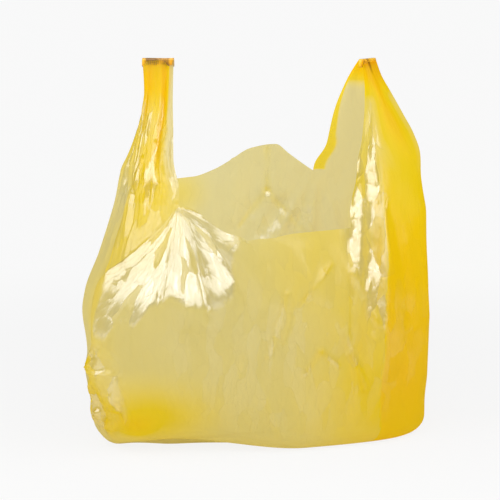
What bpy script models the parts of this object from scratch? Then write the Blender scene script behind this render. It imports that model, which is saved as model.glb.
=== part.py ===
"""Vest carrier bag of thin plastic film, standing open with its two handles drawn up.

The film is one sheet: a gusseted tube, welded flat along the bottom and across the top of each
handle. X runs across the front, Y from front to back and Z up from the floor. Sizes are in
millimetres, angles in degrees, and the mesh is made in metres.
"""

import math
from typing import NamedTuple

import bmesh
import bpy
import numpy as np

MM = 0.001

# Film, and the weld that closes the top of each handle
FILM = 0.6
WELD_WIDTH = 32.0
WELD_THICKNESS = 5.0
WELD_HEIGHT = 8.0
WELD_WALL = 0.8
WELD_ROUND = 1.2

# Height of the two handle tops, and how far the mouth's cut runs to each side of the middle
RIGHT_TOP = 378.0
LEFT_TOP = 382.0
MOUTH_RIGHT = 78.0
BACK_MOUTH_RIGHT = 85.0
MOUTH_LEFT = 92.0

# Body outline: half widths and half depths, by height above the floor
RIGHT_SIDE = ((0, 171), (30, 176), (66, 183), (110, 185), (236, 186), (264, 188))
LEFT_SIDE = (
    (0, 157), (36, 165), (72, 172), (86, 170), (130, 176), (150, 173), (187, 158), (240, 140), (265, 133),
)
FRONT_DEPTH = ((0, 84), (60, 86), (145, 84), (215, 68), (260, 50))
BACK_DEPTH = ((0, 84), (70, 85), (160, 82), (256, 70), (300, 50))
BODY_SQUARENESS = 3.6

# Side gussets: how far each folds in along its middle, by height up the body and by share up the handle
RIGHT_GUSSET = ((0, 0), (14, 2), (55, 26), (110, 38), (215, 42), (265, 40))
LEFT_GUSSET = ((0, 0), (14, 1), (60, 9), (150, 13), (265, 8))
GUSSET_SPAN = 0.8
BASE_ROUND = 17.0

# The front left corner of the floor is tucked back and lifted
CORNER_TUCK = 0.42
CORNER_LIFT = 11.0
CORNER_HEIGHT = 110.0
CORNER_WIDTH = 150.0
CORNER_START = 35.0

# Height of the mouth's edge, by share of the cut from left to right, and how far its middle bows out
FRONT_EDGE = ((0, 243), (0.09, 240), (0.2, 227), (0.34, 213), (0.55, 213), (0.7, 216), (1, 217))
BACK_EDGE = (
    (0, 253), (0.33, 255), (0.46, 261), (0.58, 271), (0.68, 284), (0.8, 288), (0.87, 278), (1, 259),
)
FRONT_BOW = 14.0
BACK_BOW = 12.0
BOW_RISE = 3


class Handle(NamedTuple):
    """One handle: sizes by share of the way from the mouth's corner, 0, up to the weld, 1.

    Its edges and its outer side are distances out from a line that leans from the bag's middle, at
    the handle's foot, to the middle of the weld.
    """

    side: int
    top: float
    weld_middle: float
    weld_turn: float
    front_inner: tuple
    back_inner: tuple
    outer: tuple
    front_depth: tuple
    back_depth: tuple
    gusset: tuple
    joins_body: float


RIGHT_HANDLE = Handle(
    side=1,
    top=RIGHT_TOP,
    weld_middle=119.0,
    weld_turn=42.0,
    front_inner=((0, MOUTH_RIGHT), (0.25, 56), (0.5, 33), (0.75, 10)),
    back_inner=((0, BACK_MOUTH_RIGHT), (0.12, 82), (0.3, 64), (0.5, 43), (0.75, 15)),
    outer=((0, 188), (0.2, 166), (0.37, 144), (0.5, 118), (0.62, 90), (0.78, 54), (0.9, 29)),
    front_depth=((0, 68), (0.25, 48), (0.5, 33), (0.75, 17), (0.9, 8)),
    back_depth=((0, 70), (0.25, 57), (0.5, 40), (0.75, 20), (0.9, 9)),
    gusset=((0, 42), (0.35, 34), (0.6, 18), (0.82, 4), (1, 0)),
    joins_body=0.3,
)
LEFT_HANDLE = Handle(
    side=-1,
    top=LEFT_TOP,
    weld_middle=97.5,
    weld_turn=15.0,
    front_inner=((0, MOUTH_LEFT), (0.25, 67), (0.5, 38), (0.75, 11)),
    back_inner=((0, MOUTH_LEFT), (0.25, 66), (0.5, 38), (0.75, 12)),
    outer=((0, 140), (0.2, 113), (0.4, 84), (0.6, 57), (0.75, 39)),
    front_depth=((0, 60), (0.25, 38), (0.5, 20), (0.68, 10), (0.85, 5)),
    back_depth=((0, 70), (0.25, 42), (0.5, 21), (0.68, 11), (0.85, 5)),
    gusset=((0, 8), (0.4, 5), (0.7, 1), (1, 0)),
    joins_body=0.3,
)
HANDLE_SQUARENESS = 2.2

# Pleats that run up each handle to its weld
PLEATS = 4
PLEAT_HEIGHT = 2.8


class Fan(NamedTuple):
    """Folds that spread down the film from a point on the front (-1) or the back (1)."""

    face: int
    x: float
    z: float
    first: float
    last: float
    folds: int
    reach: float
    height: float


class Crease(NamedTuple):
    """One ridge along the film between two points, standing proud by its height."""

    start: tuple
    end: tuple
    width: float
    height: float


# Where a fan's folds start, the share of its reach in which they rise and fade, how blunt its two
# sides are, and the depth in which they fade out towards the other face
FAN_START = 0.14
FAN_FADE = 0.4
FAN_BLUNT = 4
FAN_FACING = 25.0
FANS = (
    Fan(face=-1, x=8 - MOUTH_LEFT, z=250, first=-38, last=58, folds=4, reach=135, height=5.0),
    Fan(face=-1, x=RIGHT_HANDLE.weld_middle - 7, z=RIGHT_TOP - 28, first=-14, last=10, folds=2, reach=300,
        height=3.0),
    Fan(face=1, x=2 - MOUTH_LEFT, z=262, first=-30, last=45, folds=3, reach=120, height=3.0),
    Fan(face=1, x=BACK_MOUTH_RIGHT + 7, z=270, first=-45, last=25, folds=3, reach=130, height=3.5),
)

# Single creases, the first two the shoulder below the left handle, where the film starts to lean back
CREASES = (
    Crease((-134, -74, 150), (-66, -90, 150), 20, 6),
    Crease((-66, -90, 152), (-18, -92, 176), 20, 5),
    Crease((-158, -45, 84), (-136, -70, 14), 16, 6),
    Crease((124, -80, 62), (152, -70, 8), 16, -5),
    Crease((20, -96, 196), (66, -86, 120), 14, 4),
    Crease((96, -84, 178), (70, -86, 96), 12, -4),
    Crease((33, 84, 278), (10, 84, 170), 13, 5),
    Crease((-52, -92, 208), (-18, -90, 150), 13, 4),
)

# Steps that measure an outline, and the mesh's columns round the film and rows up it
OUTLINE_STEPS = 801
MOUTH_COLUMNS = 12
HANDLE_COLUMNS = 24
ROUND_ROWS = 4
BODY_ROWS = 20
HANDLE_ROWS = 12
FLOOR_SHARE = 0.62

FILM_COLOUR = (0.80, 0.56, 0.05, 1.0)
FILM_ROUGHNESS = 0.32


def through(points, at):
    """Values of the smooth curve through (place, value) points, with no overshoot between them."""
    places, values = (np.array(column, float) for column in zip(*points))
    slopes = np.diff(values) / np.diff(places)
    before, after = slopes[:-1], slopes[1:]
    turning = before * after <= 0
    total = np.where(turning, 1.0, before + after)
    inner = np.where(turning, 0.0, 2 * before * after / total)
    tangents = np.concatenate((slopes[:1], inner, slopes[-1:]))
    at = np.clip(np.asarray(at, float), places[0], places[-1])
    i = np.clip(np.searchsorted(places, at, side="right") - 1, 0, len(slopes) - 1)
    step = places[i + 1] - places[i]
    t = (at - places[i]) / step
    ends = values[i] * (1 + 2 * t) * (1 - t) ** 2 + values[i + 1] * t * t * (3 - 2 * t)
    leans = tangents[i] * t * (1 - t) ** 2 - tangents[i + 1] * t * t * (1 - t)
    return ends + step * leans


def eased(t):
    """0 to 1 with level ends, for t from 0 to 1."""
    t = np.clip(t, 0.0, 1.0)
    return t * t * (3 - 2 * t)


def squarish(angle, power):
    """Point at an angle on a unit oval whose squareness is power: across, depth."""
    c, s = np.cos(angle), np.sin(angle)
    return np.sign(c) * np.abs(c) ** (2 / power), np.sign(s) * np.abs(s) ** (2 / power)


def corner_angle(side, face):
    """Angle round the body of one corner of the mouth's cut."""
    right_cut = MOUTH_RIGHT if face < 0 else BACK_MOUTH_RIGHT
    cut = right_cut if side > 0 else MOUTH_LEFT
    outline = RIGHT_SIDE if side > 0 else LEFT_SIDE
    edge = FRONT_EDGE if face < 0 else BACK_EDGE
    share = cut / through(outline, edge[-1 if side > 0 else 0][1])
    across = math.acos(float(share) ** (BODY_SQUARENESS / 2))
    return face * (across if side > 0 else math.pi - across)


def evenly(start, end, columns):
    """Angles from start to end at equal steps along a typical ring, the last one left out."""
    dense = np.linspace(start, end, OUTLINE_STEPS)
    x, y = squarish(dense, BODY_SQUARENESS)
    x, y = x * RIGHT_SIDE[0][1], y * FRONT_DEPTH[0][1]
    length = np.concatenate(([0], np.cumsum(np.hypot(np.diff(x), np.diff(y)))))
    steps = np.linspace(0, length[-1], columns + 1)[:-1]
    return np.interp(steps, length, dense)


def column_angles():
    """Angle of each column: front edge, right handle, back edge, left handle."""
    front_left = corner_angle(-1, -1)
    front_right = corner_angle(1, -1)
    back_right = corner_angle(1, 1)
    back_left = corner_angle(-1, 1)
    return np.concatenate((
        evenly(front_left, front_right, MOUTH_COLUMNS),
        evenly(front_right, back_right, HANDLE_COLUMNS),
        evenly(back_right, back_left, MOUTH_COLUMNS),
        evenly(back_left, front_left + 2 * math.pi, HANDLE_COLUMNS),
    ))


def edge_heights():
    """Height of the top of each body column: the mouth's edge, or the foot of a handle."""
    share = np.arange(MOUTH_COLUMNS) / MOUTH_COLUMNS
    across = eased(np.arange(HANDLE_COLUMNS) / HANDLE_COLUMNS)
    front, back = through(FRONT_EDGE, share), through(BACK_EDGE, 1 - share)
    right = FRONT_EDGE[-1][1] + across * (BACK_EDGE[-1][1] - FRONT_EDGE[-1][1])
    left = BACK_EDGE[0][1] + across * (FRONT_EDGE[0][1] - BACK_EDGE[0][1])
    return np.concatenate((front, right, back, left))


def on_body(angle, z):
    """Point of the body's outline at an angle and a height."""
    across, depth = squarish(angle, BODY_SQUARENESS)
    width = np.where(across > 0, through(RIGHT_SIDE, z), through(LEFT_SIDE, z))
    reach = np.where(depth > 0, through(BACK_DEPTH, z), through(FRONT_DEPTH, z))
    left = eased((CORNER_START - across * width) / CORNER_WIDTH) * (depth < 0)
    near_floor = np.clip(1 - z / CORNER_HEIGHT, 0, 1) ** 2
    reach = reach * (1 - CORNER_TUCK * left * near_floor)
    low = np.clip(BASE_ROUND - z, 0, BASE_ROUND)
    inset = BASE_ROUND - np.sqrt(BASE_ROUND**2 - low**2)
    lifted = z + CORNER_LIFT * left * np.abs(depth) * near_floor
    gusset = np.where(across > 0, -through(RIGHT_GUSSET, z), through(LEFT_GUSSET, z)) * tucked(depth)
    return np.stack((across * (width - inset) + gusset, depth * (reach - inset), lifted), axis=-1)


def tucked(depth):
    """How far a side folds in, from 1 at its middle to 0 near its two corners."""
    return np.clip(1 - np.abs(depth) / GUSSET_SPAN, 0, 1)


def bowed(points, face, bow):
    """Points below a mouth's edge, with the edge's middle bowed outwards."""
    rows, columns = points.shape[:2]
    up = np.linspace(0, 1, rows)[:, None] ** BOW_RISE
    across = np.sin(np.pi * np.arange(columns) / MOUTH_COLUMNS)[None, :]
    points[..., 1] += face * bow * up * across
    return points


def body_rows(angles, heights):
    """Film from the floor's edge up to the mouth's edge and the handles' feet."""
    turns = np.radians(np.linspace(0, 90, ROUND_ROWS + 1))[:-1]
    low = BASE_ROUND * (1 - np.cos(turns))
    climb = np.linspace(0, 1, BODY_ROWS + 1)[:, None]
    high = BASE_ROUND + climb * (heights[None, :] - BASE_ROUND)
    z = np.vstack((np.repeat(low[:, None], len(heights), axis=1), high))
    points = on_body(angles[None, :], z)
    back = MOUTH_COLUMNS + HANDLE_COLUMNS
    points[:, :MOUTH_COLUMNS] = bowed(points[:, :MOUTH_COLUMNS], -1, FRONT_BOW)
    points[:, back:back + MOUTH_COLUMNS] = bowed(points[:, back:back + MOUTH_COLUMNS], 1, BACK_BOW)
    return points


def handle_section(handle, t, share):
    """Point of a handle's C-shaped section at height share t, from front edge 0 to back edge 1.

    Each half runs straight from its edge and then bends round to the outer side. The bend takes
    the whole width at the handle's foot, and is no wider than the section is deep at the weld.
    """
    lean = handle.weld_middle * t
    half_weld = WELD_WIDTH / 2 - WELD_WALL
    depth_end = WELD_THICKNESS / 2 - WELD_WALL
    front = share < 0.5
    front_inner, back_inner = (
        lean + through(edge + ((1, -half_weld),), t) for edge in (handle.front_inner, handle.back_inner)
    )
    front_depth, back_depth = (
        through(depth + ((1, depth_end),), t) for depth in (handle.front_depth, handle.back_depth)
    )
    inner = np.where(front, front_inner, back_inner)
    depth = np.where(front, front_depth, back_depth)
    width = lean + through(handle.outer + ((1, half_weld),), t) - inner
    bend = width + eased(t) * (np.minimum(depth, width) - width)
    run = width - bend
    arc = math.pi / 2 * np.sqrt((bend**2 + depth**2) / 2)
    travel = (1 - np.abs(2 * share - 1)) * (run + arc)
    angle = np.clip((travel - run) / arc, 0, 1) * math.pi / 2
    x = inner + np.minimum(travel, run) + bend * np.sin(angle) ** (2 / HANDLE_SQUARENESS)
    y = np.where(front, -1, 1) * depth * np.cos(angle) ** (2 / HANDLE_SQUARENESS)
    x = x - through(handle.gusset, t) * tucked(y / depth)
    turn = math.radians(handle.weld_turn) * t**2
    dx = x - handle.weld_middle
    across = handle.weld_middle + dx * np.cos(turn) - y * np.sin(turn)
    return handle.side * across, dx * np.sin(turn) + y * np.cos(turn)


def handle_rows(handle, angles, feet):
    """Film of one handle above its foot, front edge first."""
    count = len(angles)
    t = np.linspace(0, 1, HANDLE_ROWS + 1)[1:, None] * np.ones((1, count))
    top = handle.top - WELD_WALL
    z = feet[None, :] + t * (top - feet[None, :])
    share = np.linspace(0, 1, count)[None, :] * np.ones_like(t)
    if handle.side < 0:
        share = 1 - share
    x, y = handle_section(handle, t, share)
    pleat = PLEAT_HEIGHT * np.sin(2 * np.pi * PLEATS * share) * np.sin(np.pi * t)
    y = y + pleat * np.sign(0.5 - share) * np.abs(np.cos(np.pi * share))
    above = np.stack((x, y, z), axis=-1)
    below = on_body(angles[None, :], z)
    joined = eased(t / handle.joins_body)[..., None]
    return below + joined * (above - below)


def fan_height(fan, points):
    """How far a fan's folds lift each point."""
    across, down = points[..., 0] - fan.x, fan.z - points[..., 2]
    angle = np.degrees(np.arctan2(across, down))
    reach = np.hypot(across, down) / fan.reach
    middle, half = (fan.first + fan.last) / 2, (fan.last - fan.first) / 2
    inside = np.clip(1 - np.abs((angle - middle) / half) ** FAN_BLUNT, 0, 1)
    along = eased((reach - FAN_START) / FAN_FADE) * eased((1 - reach) / FAN_FADE)
    wave = np.sin(2 * np.pi * fan.folds * (angle - fan.first) / (fan.last - fan.first))
    facing = eased(points[..., 1] * fan.face / FAN_FACING)
    return fan.height * wave * inside * along * facing


def crease_height(crease, points):
    """How far a crease lifts each point."""
    start, end = np.array(crease.start, float), np.array(crease.end, float)
    line = end - start
    along = np.clip((points - start) @ line / (line @ line), 0, 1)
    away = np.linalg.norm(points - (start + along[..., None] * line), axis=-1)
    return crease.height * np.exp(-((away / crease.width) ** 2))


def outward(points):
    """Unit normals of a grid of points that closes round its columns."""
    round_ways = np.roll(points, -1, axis=1) - np.roll(points, 1, axis=1)
    up_ways = np.gradient(points, axis=0)
    normal = np.cross(round_ways, up_ways)
    return normal / np.maximum(np.linalg.norm(normal, axis=-1, keepdims=True), 1e-9)


def folded(points):
    """The body's film with its fans and creases, which fade out at the floor."""
    lift = sum(fan_height(fan, points) for fan in FANS)
    lift = lift + sum(crease_height(crease, points) for crease in CREASES)
    rise = eased(points[..., 2] / BASE_ROUND)
    return points + (lift * rise)[..., None] * outward(points)


def film_faces(grid, right, left, rings):
    """Quads of the film: floor, body and handles, from grids of vertex numbers."""
    faces = []
    for lower, upper in zip(rings[:-1] + [rings[-1]], rings[1:] + [grid[0]]):
        faces += round_quads(lower, upper)
    for lower, upper in zip(grid[:-1], grid[1:]):
        faces += round_quads(lower, upper)
    start = MOUTH_COLUMNS
    faces += strip_quads([grid[-1][start:start + HANDLE_COLUMNS + 1]] + right)
    start = 2 * MOUTH_COLUMNS + HANDLE_COLUMNS
    faces += strip_quads([grid[-1][start:] + grid[-1][:1]] + left)
    return faces


def round_quads(lower, upper):
    """Quads between two closed rings of vertex numbers."""
    count = len(lower)
    return [(lower[i], lower[(i + 1) % count], upper[(i + 1) % count], upper[i]) for i in range(count)]


def strip_quads(rows):
    """Quads between open rows of vertex numbers."""
    quads = []
    for lower, upper in zip(rows[:-1], rows[1:]):
        quads += [(lower[i], lower[i + 1], upper[i + 1], upper[i]) for i in range(len(lower) - 1)]
    return quads


def floor_faces(ring):
    """Faces that close the floor, from the front columns across to the back ones."""
    count = len(ring)
    first = MOUTH_COLUMNS + HANDLE_COLUMNS // 2
    faces = []
    for i in range(count // 2):
        a, b = ring[(first + i) % count], ring[(first + i + 1) % count]
        c, d = ring[(first - i - 1) % count], ring[(first - i) % count]
        corners = list(dict.fromkeys((d, c, b, a)))
        faces.append(tuple(corners))
    return faces


def film_mesh():
    """The film's outer surface as one open sheet, centred over the origin, and how far it moved."""
    angles, heights = column_angles(), edge_heights()
    body = folded(body_rows(angles, heights))
    start = MOUTH_COLUMNS
    right_columns = slice(start, start + HANDLE_COLUMNS + 1)
    right = handle_rows(RIGHT_HANDLE, angles[right_columns], heights[right_columns])
    start = 2 * MOUTH_COLUMNS + HANDLE_COLUMNS
    left_angles = np.append(angles[start:], angles[0] + 2 * math.pi)
    left = handle_rows(LEFT_HANDLE, left_angles, np.append(heights[start:], heights[0]))
    floor = body[:1] * (FLOOR_SHARE, FLOOR_SHARE, 0.0)
    points = []
    numbers = []
    for block in (floor, body, right, left):
        rows = []
        for row in block:
            rows.append(list(range(len(points), len(points) + len(row))))
            points.extend(row * MM)
        numbers.append(rows)
    rings, grid, right_rows, left_rows = numbers
    faces = film_faces(grid, right_rows, left_rows, rings) + floor_faces(rings[0])
    points = np.array(points)
    middle = (points.min(axis=0) + points.max(axis=0)) / 2 * (1, 1, 0)
    mesh = bpy.data.meshes.new("bag_film")
    mesh.from_pydata([tuple(point) for point in points - middle], [], faces)
    return mesh, middle


def weld_mesh():
    """The flat welded block across the top of one handle, with its edges rounded."""
    mesh = bmesh.new()
    bmesh.ops.create_cube(mesh, size=1.0)
    size = (WELD_WIDTH * MM, WELD_THICKNESS * MM, WELD_HEIGHT * MM)
    bmesh.ops.scale(mesh, vec=size, verts=mesh.verts)
    bmesh.ops.bevel(
        mesh, geom=mesh.edges[:], offset=WELD_ROUND * MM, segments=2, profile=0.5, affect="EDGES"
    )
    done = bpy.data.meshes.new("weld")
    mesh.to_mesh(done)
    mesh.free()
    return done


def film_material():
    """Translucent yellow film with a soft gloss."""
    material = bpy.data.materials.new("yellow_film")
    material.use_nodes = True
    shader = material.node_tree.nodes["Principled BSDF"]
    shader.inputs["Base Color"].default_value = FILM_COLOUR
    shader.inputs["Roughness"].default_value = FILM_ROUGHNESS
    shader.inputs["Metallic"].default_value = 0.0
    return material


def weld_object(handle, middle):
    """A handle's weld, as a guide that the film is joined to."""
    weld = bpy.data.objects.new("weld_guide", weld_mesh())
    bpy.context.scene.collection.objects.link(weld)
    place = np.array((handle.side * handle.weld_middle, 0.0, handle.top - WELD_HEIGHT / 2)) * MM
    weld.location = place - middle
    weld.rotation_euler.z = handle.side * math.radians(handle.weld_turn)
    weld.hide_render = True
    weld.display_type = "WIRE"
    return weld


def build_bag():
    """The bag: the sheet given its thickness, with both welds joined on."""
    mesh, middle = film_mesh()
    mesh.shade_smooth()
    bag = bpy.data.objects.new("bag_film", mesh)
    bpy.context.scene.collection.objects.link(bag)
    mesh.materials.append(film_material())
    wall = bag.modifiers.new("Film thickness", "SOLIDIFY")
    wall.thickness = FILM * MM
    wall.offset = -1.0
    wall.use_even_offset = True
    wall.use_quality_normals = True
    for handle in (RIGHT_HANDLE, LEFT_HANDLE):
        weld = bag.modifiers.new("Handle weld", "BOOLEAN")
        weld.operation = "UNION"
        weld.solver = "EXACT"
        weld.object = weld_object(handle, middle)
    return bag


def main():
    """Clear the scene and build the bag."""
    for old in list(bpy.data.objects):
        bpy.data.objects.remove(old)
    build_bag()


main()
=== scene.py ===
"""A thin yellow vest carrier bag: its film with every fold and crumple, its welds, and a plain studio.

Lengths are in millimetres until a mesh is made, which is in metres. X runs across the front, Y from
the front to the back and Z up.
"""

import logging
import math
from dataclasses import dataclass, field
from enum import Enum
from typing import Sequence

import bpy
import numpy as np
from mathutils import Matrix, Vector
from mathutils.bvhtree import BVHTree
from mathutils.geometry import delaunay_2d_cdt


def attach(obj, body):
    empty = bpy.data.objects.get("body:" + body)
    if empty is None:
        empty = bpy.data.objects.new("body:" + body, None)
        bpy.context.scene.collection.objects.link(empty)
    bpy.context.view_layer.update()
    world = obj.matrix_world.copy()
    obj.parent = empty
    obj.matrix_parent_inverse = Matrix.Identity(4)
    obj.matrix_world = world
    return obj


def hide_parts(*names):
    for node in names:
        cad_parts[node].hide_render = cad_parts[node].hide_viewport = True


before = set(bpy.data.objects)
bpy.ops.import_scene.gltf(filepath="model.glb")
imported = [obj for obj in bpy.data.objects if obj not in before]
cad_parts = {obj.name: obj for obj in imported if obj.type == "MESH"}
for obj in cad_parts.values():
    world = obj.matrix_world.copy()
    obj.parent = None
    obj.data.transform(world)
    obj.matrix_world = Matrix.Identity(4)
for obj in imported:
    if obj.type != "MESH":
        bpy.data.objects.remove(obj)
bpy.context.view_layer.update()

LOG = logging.getLogger("carrier_bag")
MM = 0.001
Curve = tuple[tuple[float, float], ...]
Pair = tuple[np.ndarray, np.ndarray]
Place = tuple[float, float, float]
Colour = tuple[float, float, float, float]


def through(points: Curve, at: np.ndarray) -> np.ndarray:
    """Reads a smooth curve that has no overshoot between its points.

    Args:
        points: (place, value) pairs in order of place.
        at: The places to read.

    Returns:
        The value at each place.
    """
    places, values = (np.array(column, float) for column in zip(*points))
    slopes = np.diff(values) / np.diff(places)
    before, after = slopes[:-1], slopes[1:]
    turning = before * after <= 0
    total = np.where(turning, 1.0, before + after)
    inner = np.where(turning, 0.0, 2 * before * after / total)
    tangents = np.concatenate((slopes[:1], inner, slopes[-1:]))
    at = np.clip(np.asarray(at, float), places[0], places[-1])
    i = np.clip(np.searchsorted(places, at, side="right") - 1, 0, len(slopes) - 1)
    step = places[i + 1] - places[i]
    t = (at - places[i]) / step
    ends = values[i] * (1 + 2 * t) * (1 - t) ** 2 + values[i + 1] * t * t * (3 - 2 * t)
    leans = tangents[i] * t * (1 - t) ** 2 - tangents[i + 1] * t * t * (1 - t)
    return ends + step * leans


def eased(t: np.ndarray) -> np.ndarray:
    """Rises from 0 to 1 with level ends, for t from 0 to 1."""
    t = np.clip(t, 0.0, 1.0)
    return t * t * (3 - 2 * t)


def squarish(angle: np.ndarray, power: float) -> Pair:
    """Places points on a unit oval.

    Args:
        angle: Angle of each point round the oval.
        power: How square the oval is, 2 for a circle.

    Returns:
        How far across and how deep each point lies.
    """
    c, s = np.cos(angle), np.sin(angle)
    return np.sign(c) * np.abs(c) ** (2 / power), np.sign(s) * np.abs(s) ** (2 / power)


def new_mesh(name: str, points: np.ndarray, faces: list, finish: bpy.types.Material) -> bpy.types.Mesh:
    """Makes a mesh in one material.

    Args:
        name: The mesh's name.
        points: Its points, in millimetres.
        faces: The point numbers of each face.
        finish: Its material.

    Returns:
        The mesh, in metres.
    """
    mesh = bpy.data.meshes.new(name)
    mesh.from_pydata((points * MM).tolist(), [], faces)
    mesh.validate()
    mesh.materials.append(finish)
    return mesh


def put(name: str, data: bpy.types.ID) -> bpy.types.Object:
    """Puts an object in the scene.

    Args:
        name: The object's name.
        data: Its mesh, light or camera.

    Returns:
        The object.
    """
    thing = bpy.data.objects.new(name, data)
    bpy.context.scene.collection.objects.link(thing)
    return thing


class Face(Enum):
    """The two broad faces of the bag, by the direction that they look along Y."""

    FRONT = -1
    BACK = 1


@dataclass(frozen=True)
class WeldSize:
    """The flat welded block at the top of a handle."""

    width: float = 32.0
    thickness: float = 5.0
    height: float = 8.0
    wall: float = 0.8


@dataclass(frozen=True)
class HandleShape:
    """One handle, by share of the way from the mouth's corner, 0, up to the weld, 1.

    Its edges and its outer side are distances out from a line that leans from the bag's middle, at
    the handle's foot, to the middle of the weld.
    """

    side: int
    top: float
    weld_middle: float
    weld_turn: float
    front_inner: Curve
    back_inner: Curve
    outer: Curve
    front_depth: Curve
    back_depth: Curve
    gusset: Curve
    joins_body: float = 0.3


@dataclass(frozen=True)
class Fan:
    """Folds that spread down the film from a point on one face, between a first and a last angle.

    Angles are in degrees from straight down. start and fade are shares of the reach, blunt is how
    evenly the folds run out to their sides, and facing how deep the film lies where they are whole.
    """

    face: Face
    x: float
    z: float
    first: float
    last: float
    folds: int
    reach: float
    height: float
    start: float = 0.14
    fade: float = 0.4
    blunt: int = 4
    facing: float = 25.0

    def lift(self, points: np.ndarray) -> np.ndarray:
        """How far the folds lift each point out of the film.

        Args:
            points: Places on the film.

        Returns:
            The lift of each place.
        """
        across, down = points[:, 0] - self.x, self.z - points[:, 2]
        angle = np.degrees(np.arctan2(across, down))
        reach = np.hypot(across, down) / self.reach
        middle, half = (self.first + self.last) / 2, (self.last - self.first) / 2
        inside = np.clip(1 - np.abs((angle - middle) / half) ** self.blunt, 0, 1)
        along = eased((reach - self.start) / self.fade) * eased((1 - reach) / self.fade)
        wave = np.sin(2 * np.pi * self.folds * (angle - self.first) / (self.last - self.first))
        return self.height * wave * inside * along * eased(points[:, 1] * self.face.value / self.facing)


@dataclass(frozen=True)
class Crease:
    """One ridge along the film between two points, or a dent where its height is below 0."""

    start: Place
    end: Place
    width: float
    height: float

    def lift(self, points: np.ndarray) -> np.ndarray:
        """How far the ridge lifts each point out of the film.

        Args:
            points: Places on the film.

        Returns:
            The lift of each place.
        """
        start, end = np.array(self.start, float), np.array(self.end, float)
        line = end - start
        along = np.clip((points - start) @ line / (line @ line), 0, 1)
        away = np.linalg.norm(points - (start + along[:, None] * line), axis=1)
        return self.height * np.exp(-((away / self.width) ** 2))


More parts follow.
